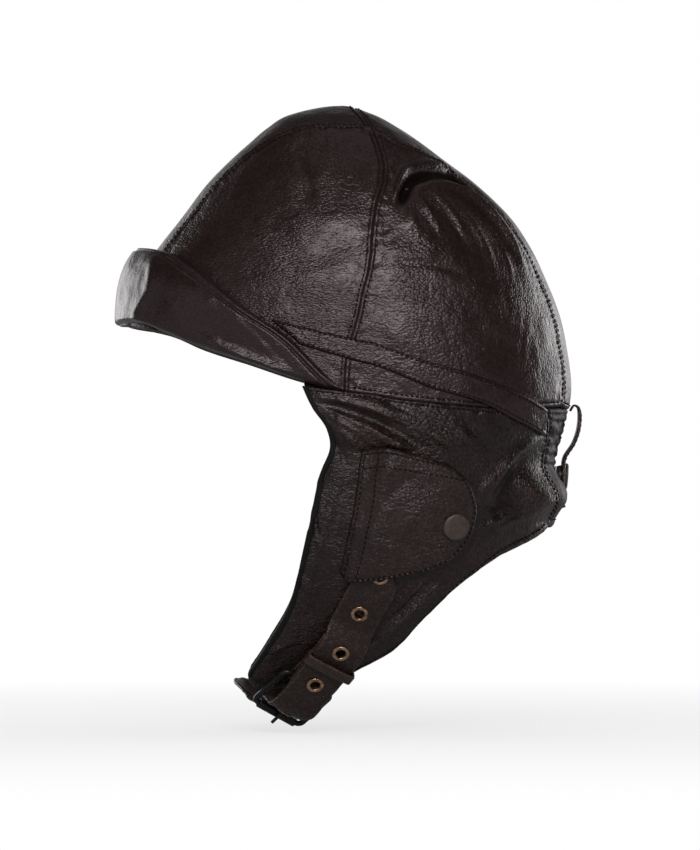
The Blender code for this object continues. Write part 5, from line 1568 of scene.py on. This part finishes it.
def buckle_roller(line, looks):
    """The tube that turns on the end bar."""
    half = FRAME_HALF - FRAME_CORNER - RUN_CLEAR
    bore, edge = BAR_RADIUS + RUN_CLEAR, ROLLER_EDGE
    upper = ((bore, half), (ROLLER_RADIUS - edge, half), (ROLLER_RADIUS - edge * 0.3, half - edge * 0.3),
             (ROLLER_RADIUS, half - edge))
    profile = upper + tuple((radius, -height) for radius, height in upper[::-1])
    roller = turned("buckle_roller_skin", profile,
                    frame_on(line.local(BUCKLE_LENGTH, 0), line.side, line.along), 40)
    dress(roller, looks["buckle_metal"], "buckle_roller", "buckle_metal", "buckle_roller")


def buckle_prong(line, looks):
    """The pin, curled round the hinge bar and resting on the roller."""
    loop = BAR_RADIUS + RUN_CLEAR + PRONG_RADIUS
    rest = ROLLER_RADIUS + RUN_CLEAR + PRONG_RADIUS + LAYER_GAP
    path = []
    for step in range(PRONG_WRAP_STEPS + 1):
        angle = math.radians(PRONG_START_DEG - PRONG_WRAP_DEG * step / PRONG_WRAP_STEPS)
        path.append(line.local(loop * math.cos(angle), loop * math.sin(angle)))
    for share in (0.25, 0.5, 0.8):
        path.append(line.local(BUCKLE_LENGTH * share, loop * (1 - share) + rest * share))
    for share in (0.6, 1):
        path.append(line.local(BUCKLE_LENGTH + PRONG_OVERRUN * share, rest))
    prong = tube_points("buckle_prong_skin", path, PRONG_RADIUS)
    dress(prong, looks["buckle_metal"], "buckle_prong", "buckle_metal", "buckle_prong")


class Graph:
    """A node tree that is put together step by step."""

    def __init__(self, tree):
        self.tree = tree
        self.coordinates = self.add("ShaderNodeTexCoord").outputs
        self.place = self.coordinates["Object"]

    def add(self, kind, inputs=(), **values):
        """A node with its settings, and with its inputs set or linked by name or by place."""
        node = self.tree.nodes.new(kind)
        for name, value in values.items():
            setattr(node, name, value)
        for name, value in dict(inputs).items():
            self.put(node.inputs[name], value)
        return node

    def put(self, socket, value):
        """Links a socket to another one, or sets its value."""
        if isinstance(value, bpy.types.NodeSocket):
            self.tree.links.new(value, socket)
        else:
            socket.default_value = value

    def noise(self, size, detail=3.0, roughness=0.55, distortion=0.0, place=None):
        """Noise with features of about a size in metres."""
        return self.add("ShaderNodeTexNoise", {
            "Vector": place or self.place, "Scale": 1 / size, "Detail": detail, "Roughness": roughness,
            "Distortion": distortion}).outputs["Fac"]

    def cells(self, size, place):
        """Distance to cell centres of about a size in metres."""
        return self.add("ShaderNodeTexVoronoi", {"Vector": place, "Scale": 1 / size}).outputs["Distance"]

    def math(self, operation, *values):
        """A sum, product or other result of values."""
        return self.add("ShaderNodeMath", enumerate(values), operation=operation).outputs[0]

    def spread(self, value, low, high, to_low=0.0, to_high=1.0):
        """A value stretched from one range to another, and held at the second one's ends."""
        return self.add("ShaderNodeMapRange", enumerate((value, low, high, to_low, to_high))).outputs[0]

    def stretched(self, scale):
        """The object's places, squeezed along its axes."""
        return self.add("ShaderNodeMapping", {"Vector": self.place, "Scale": scale}).outputs["Vector"]

    def shaken(self, scale, reach):
        """The squeezed places, moved about a little so that cells lose their straight sides."""
        shake = self.add("ShaderNodeTexNoise", {"Vector": self.place, "Scale": 1 / SHAKE_SIZE})
        values = (shake.outputs["Color"], (reach, reach, reach), self.stretched(scale))
        return self.add("ShaderNodeVectorMath", enumerate(values), operation="MULTIPLY_ADD").outputs[0]

    def separate(self, vector):
        """The three numbers of a vector."""
        return self.add("ShaderNodeSeparateXYZ", {0: vector}).outputs

    def blend(self, share, first, second):
        """A value between two values."""
        return self.add("ShaderNodeMix", {"Factor": share, 2: first, 3: second}, data_type="FLOAT").outputs[0]

    def mix(self, share, first, second):
        """A colour between two colours."""
        first, second = (value if isinstance(value, bpy.types.NodeSocket) else (*value, 1.0)
                         for value in (first, second))
        return self.add("ShaderNodeMix", {"Factor": share, 6: first, 7: second}, data_type="RGBA").outputs[2]

    def bump(self, height, depth, before=None):
        """A bump of a depth in metres, on top of another."""
        inputs = {"Height": height, "Distance": depth, "Strength": 1.0}
        if before is not None:
            inputs["Normal"] = before
        return self.add("ShaderNodeBump", inputs).outputs["Normal"]


class Look(Graph):
    """A material's graph, with its shader."""

    def __init__(self, name):
        self.material = bpy.data.materials.new(name)
        self.material.use_nodes = True
        super().__init__(self.material.node_tree)
        self.shader = self.tree.nodes["Principled BSDF"]

    def set(self, **values):
        """Sets or links the shader's inputs, and gives the material."""
        for name, value in values.items():
            self.put(self.shader.inputs[name.replace("_", " ")], value)
        return self.material


SHAKE_SIZE = 2.2 * MM
# How the leather's pebbles and waves are squeezed: in front, over the ear, and at the rear edge.
LEVEL, ROUND, UPRIGHT = (1.0, 1.0, 2.1), (1.1, 1.0, 1.3), (2.0, 1.0, 0.9)
WAVE_SIZE, PEBBLE_SIZE, PEBBLE_SHAKE = 3.4 * MM, 1.5 * MM, 0.9 * MM
# How much lighter than the light colour the ridges are: rubbed wear and a painted highlight.
WEAR_AND_HIGHLIGHT_GAINS = (2.4, 2.6, 2.7)
# Share of the dark colour that paints shade into hollows and into the clefts between pebbles.
HOLLOW_PAINTED_SHADE, CLEFT_PAINTED_SHADE = 0.15, 0.22
HOLLOW_ROUGHNESS, PLAIN_SPECULAR, HOLLOW_SPECULAR = 0.95, 0.5, 0.06


def shaded(colour, shade):
    """A colour times one number, or times one for each channel."""
    return tuple(float(channel) for channel in np.array(colour) * shade)


def leather(name, dark, light, rough, grain, wrinkle, wear_and_highlight_strength, cleft_painted_shade):
    """Aniline leather: blotches, pebbles that run with the hide, waves, painted shade in hollows and clefts,
    rubbed wear and painted highlight on ridges.
    """
    g = Look(name)
    height = g.add("ShaderNodeAttribute", attribute_name="ridge").outputs["Fac"]
    colour = g.mix(g.spread(g.noise(0.022, 5.0, 0.68), 0.35, 0.68), dark, light)
    # Ridges and strip edges lighten in flecks: rubbed wear and a painted highlight.
    wear_and_highlight = g.math("MULTIPLY", g.spread(height, 0.7, 3.0), g.spread(g.noise(0.004, 3.0, 0.6), 0.30, 0.75))
    colour = g.mix(g.math("MULTIPLY", wear_and_highlight, wear_and_highlight_strength), colour, shaded(light, WEAR_AND_HIGHLIGHT_GAINS))
    # Painted shade: deep folds and the pucker's cavity get a darker colour, weaker specular and more
    # roughness.
    painted_shade_hollows = g.spread(height, -0.85, -2.0)
    colour = g.mix(g.math("MULTIPLY", painted_shade_hollows, 0.8), colour, shaded(dark, HOLLOW_PAINTED_SHADE))
    drift = g.noise(0.045, 2.0, 0.5)
    along = g.math("ADD", g.separate(g.place)[0], g.math("MULTIPLY", drift, 0.05))
    to_rear, to_edge = g.spread(along, 0.005, 0.055), g.spread(along, 0.072, 0.100)
    waves = g.blend(to_edge, *(g.noise(WAVE_SIZE, 3.0, 0.55, 0.6, g.stretched(scale))
                               for scale in (LEVEL, UPRIGHT)))
    pebbles = [g.cells(PEBBLE_SIZE, g.shaken(scale, PEBBLE_SHAKE)) for scale in (LEVEL, ROUND, UPRIGHT)]
    pebble = g.blend(to_edge, g.blend(to_rear, *pebbles[:2]), pebbles[2])
    pebble = g.math("POWER", pebble, 2.0)
    # Painted shade in the clefts between the pebbles.
    colour = g.mix(g.spread(pebble, 0.07, 0.28, 0.0, cleft_painted_shade), colour, shaded(dark, CLEFT_PAINTED_SHADE))
    uneven = g.spread(g.noise(0.020, 3.0, 0.6), 0.36, 0.62, 0.4, 1.0)
    normal = g.bump(g.noise(0.014, 2.0, 0.5), 0.0012)
    normal = g.bump(g.math("MULTIPLY", waves, uneven), wrinkle, normal)
    normal = g.bump(g.math("MULTIPLY", pebble, uneven), -grain, normal)
    normal = g.bump(g.noise(0.0006, 2.0, 0.6), grain * 0.12, normal)
    roughness = g.spread(g.noise(0.010, 3.0, 0.6), 0.3, 0.7, rough - 0.04, rough + 0.08)
    return g.set(Base_Color=colour, Roughness=g.blend(painted_shade_hollows, roughness, HOLLOW_ROUGHNESS), Normal=normal,
                 Specular_IOR_Level=g.blend(painted_shade_hollows, PLAIN_SPECULAR, HOLLOW_SPECULAR),
                 Specular_Tint=(1.0, 0.87, 0.91, 1.0))


def cloth(name, dark, light, pitch):
    """Plain weave."""
    g = Look(name)
    waves = [g.add("ShaderNodeTexWave", {"Vector": g.place, "Scale": 0.314 / pitch, "Distortion": 0.6},
                   bands_direction=axis).outputs["Fac"] for axis in ("X", "Z")]
    weave = g.math("MAXIMUM", *waves)
    colour = g.mix(g.math("MULTIPLY", weave, g.noise(0.01)), dark, light)
    return g.set(Base_Color=colour, Roughness=0.9, Normal=g.bump(weave, pitch * 0.2), Sheen_Weight=0.2)


def tape(name, dark, light):
    """Satin binding tape with fine ribs."""
    g = Look(name)
    fibre = g.noise(0.0008, 3.0, 0.6)
    return g.set(Base_Color=g.mix(fibre, dark, light), Roughness=0.72, Normal=g.bump(fibre, 0.00012),
                 Specular_IOR_Level=0.12)


def metal(name, dark, light, rough, shine):
    """Coated or aged metal with fine scratches."""
    g = Look(name)
    stain = g.noise(0.0022, 4.0, 0.6)
    colour = g.mix(g.spread(stain, 0.35, 0.65), dark, light)
    roughness = g.spread(stain, 0.3, 0.7, rough - 0.08, rough + 0.1)
    normal = g.bump(g.noise(0.0006, 4.0, 0.7), 0.00003)
    return g.set(Base_Color=colour, Metallic=shine, Roughness=roughness, Normal=normal)


# Name, dark and light colour, roughness, depth of the pebbles and of the wrinkles in metres, and
# strength of the rubbed wear and painted highlight on ridges and of the painted shade in the clefts between
# pebbles.
LEATHERS = {
    "cap_leather": ("cap_leather", (0.0225, 0.0112, 0.0106), (0.0320, 0.0170, 0.0160), 0.31,
                    0.00030, 0.00028, 0.5, 0.55),
    "flap": ("flap_leather", (0.0110, 0.0056, 0.0043), (0.0350, 0.0188, 0.0150), 0.35,
             0.00034, 0.00075, 0.9, 0.85),
    "cover": ("cover_leather", (0.0185, 0.0100, 0.0080), (0.0420, 0.0235, 0.0195), 0.36,
              0.00032, 0.00060, 0.9, 0.75),
    # The nape's copy is darker: painted shade under the tab and the crown's rear edge.
    "nape": ("nape_painted_shade_leather", (0.0085, 0.0044, 0.0041), (0.0130, 0.0070, 0.0064), 0.62,
             0.00022, 0.00040, 0.5, 0.8),
    "brow_leather": ("brow_leather", (0.0205, 0.0106, 0.0106), (0.0270, 0.0146, 0.0144), 0.29,
                     0.00013, 0.00018, 0.2, 0.5),
    "strap_leather": ("strap_leather", (0.0225, 0.0122, 0.0096), (0.0430, 0.0240, 0.0190), 0.35,
                      0.00024, 0.00050, 0.9, 0.8),
    # The keeper's copy is lighter: a painted sheen.
    "keeper": ("keeper_painted_sheen_leather", (0.034, 0.0200, 0.0165), (0.056, 0.034, 0.028), 0.34,
               0.00016, 0.00030, 0.9, 0.6),
}
# Dark and light colour, roughness and share of metal.
METALS = {
    "eyelet_brass": ((0.22, 0.125, 0.080), (0.66, 0.43, 0.29), 0.32, 1.0),
    "snap_metal": ((0.060, 0.043, 0.037), (0.090, 0.066, 0.056), 0.46, 0.4),
    "buckle_metal": ((0.012, 0.012, 0.014), (0.024, 0.024, 0.027), 0.28, 0.6),
}


def make_looks():
    """All materials, by slot or by piece."""
    looks = {key: leather(*values) for key, values in LEATHERS.items()}
    looks["lining_cloth"] = cloth("lining_cloth", (0.055, 0.034, 0.025), (0.090, 0.058, 0.042), 0.0009)
    looks["black_binding"] = tape("black_binding", (0.006, 0.006, 0.0065), (0.013, 0.013, 0.014))
    looks.update({name: metal(name, *values) for name, values in METALS.items()})
    looks["thread"] = tape("sewing_thread", (0.0075, 0.0043, 0.0040), (0.017, 0.0100, 0.0090))
    return looks


STAGE_MIDDLE = (0, 0, -0.14)
# Name, place, width and height in metres, and power in watts of each soft light.
LIGHTS = (
    ("front_softbox", (0.02, -1.50, 0.48), (1.0, 0.48), 13.5),
    ("brow_card", (-1.05, 1.15, -0.12), (1.1, 0.9), 5.8),
    ("rear_card", (1.15, 1.10, -0.05), (0.9, 1.0), 8.0),
    ("top", (0.1, 0.1, 1.7), (1.2, 1.2), 1.3),
    ("left_card", (-1.4, -0.9, 0.1), (1.2, 1.0), 1.3),
)
WORLD_FILL = 0.36
FLOOR_DROP, FLOOR_REACH = -0.2838, 12.0
FLOOR_DIFFUSE, FLOOR_GLOSSY, FLOOR_SEEN = 0.42, 0.45, 0.95
CAMERA_DISTANCE, CAMERA_HEIGHT_SEEN = 3.5, 0.391
CAMERA_X, CAMERA_Z = 0.0018, -0.1433


def area_light(name, place, size, power):
    """A soft rectangular light that faces the cap."""
    data = bpy.data.lights.new(name, "AREA")
    data.shape = "RECTANGLE"
    data.size, data.size_y = size
    data.energy = power
    item = bpy.data.objects.new(name, data)
    item.location = place
    item.visible_camera = False
    item.rotation_euler = (Vector(STAGE_MIDDLE) - Vector(place)).to_track_quat("-Z", "Y").to_euler()
    bpy.context.scene.collection.objects.link(item)


def studio_world():
    """A white backdrop for the camera, behind the object for its reflections, and soft fill."""
    world = bpy.data.worlds.new("studio")
    bpy.context.scene.world = world
    world.use_nodes = True
    g = Graph(world.node_tree)
    back = g.tree.nodes["Background"]
    back.inputs["Color"].default_value = (1, 1, 1, 1)
    ray = g.add("ShaderNodeLightPath").outputs
    way = g.separate(g.coordinates["Generated"])
    behind = g.spread(way[1], 0.35, 0.70, 0.06, 0.95)
    shown = g.math("MULTIPLY", behind, g.spread(way[2], 0.10, 0.42, 1.0, 0.06))
    mirror = g.math("MAXIMUM", ray["Is Glossy Ray"], ray["Is Transmission Ray"])
    fill = g.blend(mirror, WORLD_FILL, shown)
    g.put(back.inputs["Strength"], g.blend(ray["Is Camera Ray"], fill, 1.0))


def floor_look():
    """Pale floor that fades to the white backdrop away from the cap, and keeps its shadow."""
    g = Look("floor_white")
    ray = g.add("ShaderNodeLightPath").outputs
    pale = g.mix(ray["Is Glossy Ray"], (FLOOR_DIFFUSE,) * 3, (FLOOR_GLOSSY,) * 3)
    g.set(Base_Color=g.mix(ray["Is Camera Ray"], pale, (FLOOR_SEEN,) * 3), Roughness=0.95)
    reach = g.add("ShaderNodeVectorMath", {0: g.place}, operation="LENGTH").outputs["Value"]
    share = g.math("MULTIPLY", g.spread(reach, 0.20, 0.75, 0.62, 1.0), ray["Is Camera Ray"])
    white = g.add("ShaderNodeEmission").outputs[0]
    mixed = g.add("ShaderNodeMixShader", {0: share, 1: g.shader.outputs[0], 2: white}).outputs[0]
    g.put(g.tree.nodes["Material Output"].inputs["Surface"], mixed)
    return g.material


def stage():
    """Floor, lights and camera."""
    low = min(CAD_BOX[0][2], FLOOR_DROP)
    mesh = bpy.data.meshes.new("floor")
    corners = [(x * FLOOR_REACH, y * FLOOR_REACH, low) for x, y in ((-1, -1), (1, -1), (1, 1), (-1, 1))]
    mesh.from_pydata(corners, [], [(0, 1, 2, 3)])
    floor = bpy.data.objects.new("floor", mesh)
    bpy.context.scene.collection.objects.link(floor)
    floor.data.materials.append(floor_look())

    studio_world()
    for light in LIGHTS:
        area_light(*light)

    data = bpy.data.cameras.new("camera")
    data.sensor_fit = "VERTICAL"
    data.angle = 2 * math.atan(CAMERA_HEIGHT_SEEN / 2 / CAMERA_DISTANCE)
    camera = bpy.data.objects.new("camera", data)
    camera.location = (CAMERA_X, -CAMERA_DISTANCE, CAMERA_Z)
    camera.rotation_euler = (math.pi / 2, 0, 0)
    bpy.context.scene.collection.objects.link(camera)
    bpy.context.scene.camera = camera
    bpy.context.scene.view_settings.view_transform = "Standard"


def main():
    """Builds the looks of the cap."""
    looks = make_looks()
    thread = Thread("cap_stitches")
    centre_strips(looks, thread)
    side_panels(looks, thread)
    crown_lining(looks)
    ear_flaps(looks, thread)
    nape(looks, thread)
    goggle_bands(looks, thread)
    brow_band(looks)
    ear_covers(looks)
    line = StrapLine()
    strap_line = strap(line, looks)
    eyelets(strap_line[-1], looks)
    keeper(line, strap_line, looks)
    chape(line, looks)
    buckle_frame(line, looks)
    buckle_roller(line, looks)
    buckle_prong(line, looks)
    goggle_tab(looks)
    thread.finish(looks["thread"], "cap")
    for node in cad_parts.values():
        if not node.hide_render:
            node.data.materials.clear()
            node.data.materials.append(looks["snap_metal"])
    stage()


main()
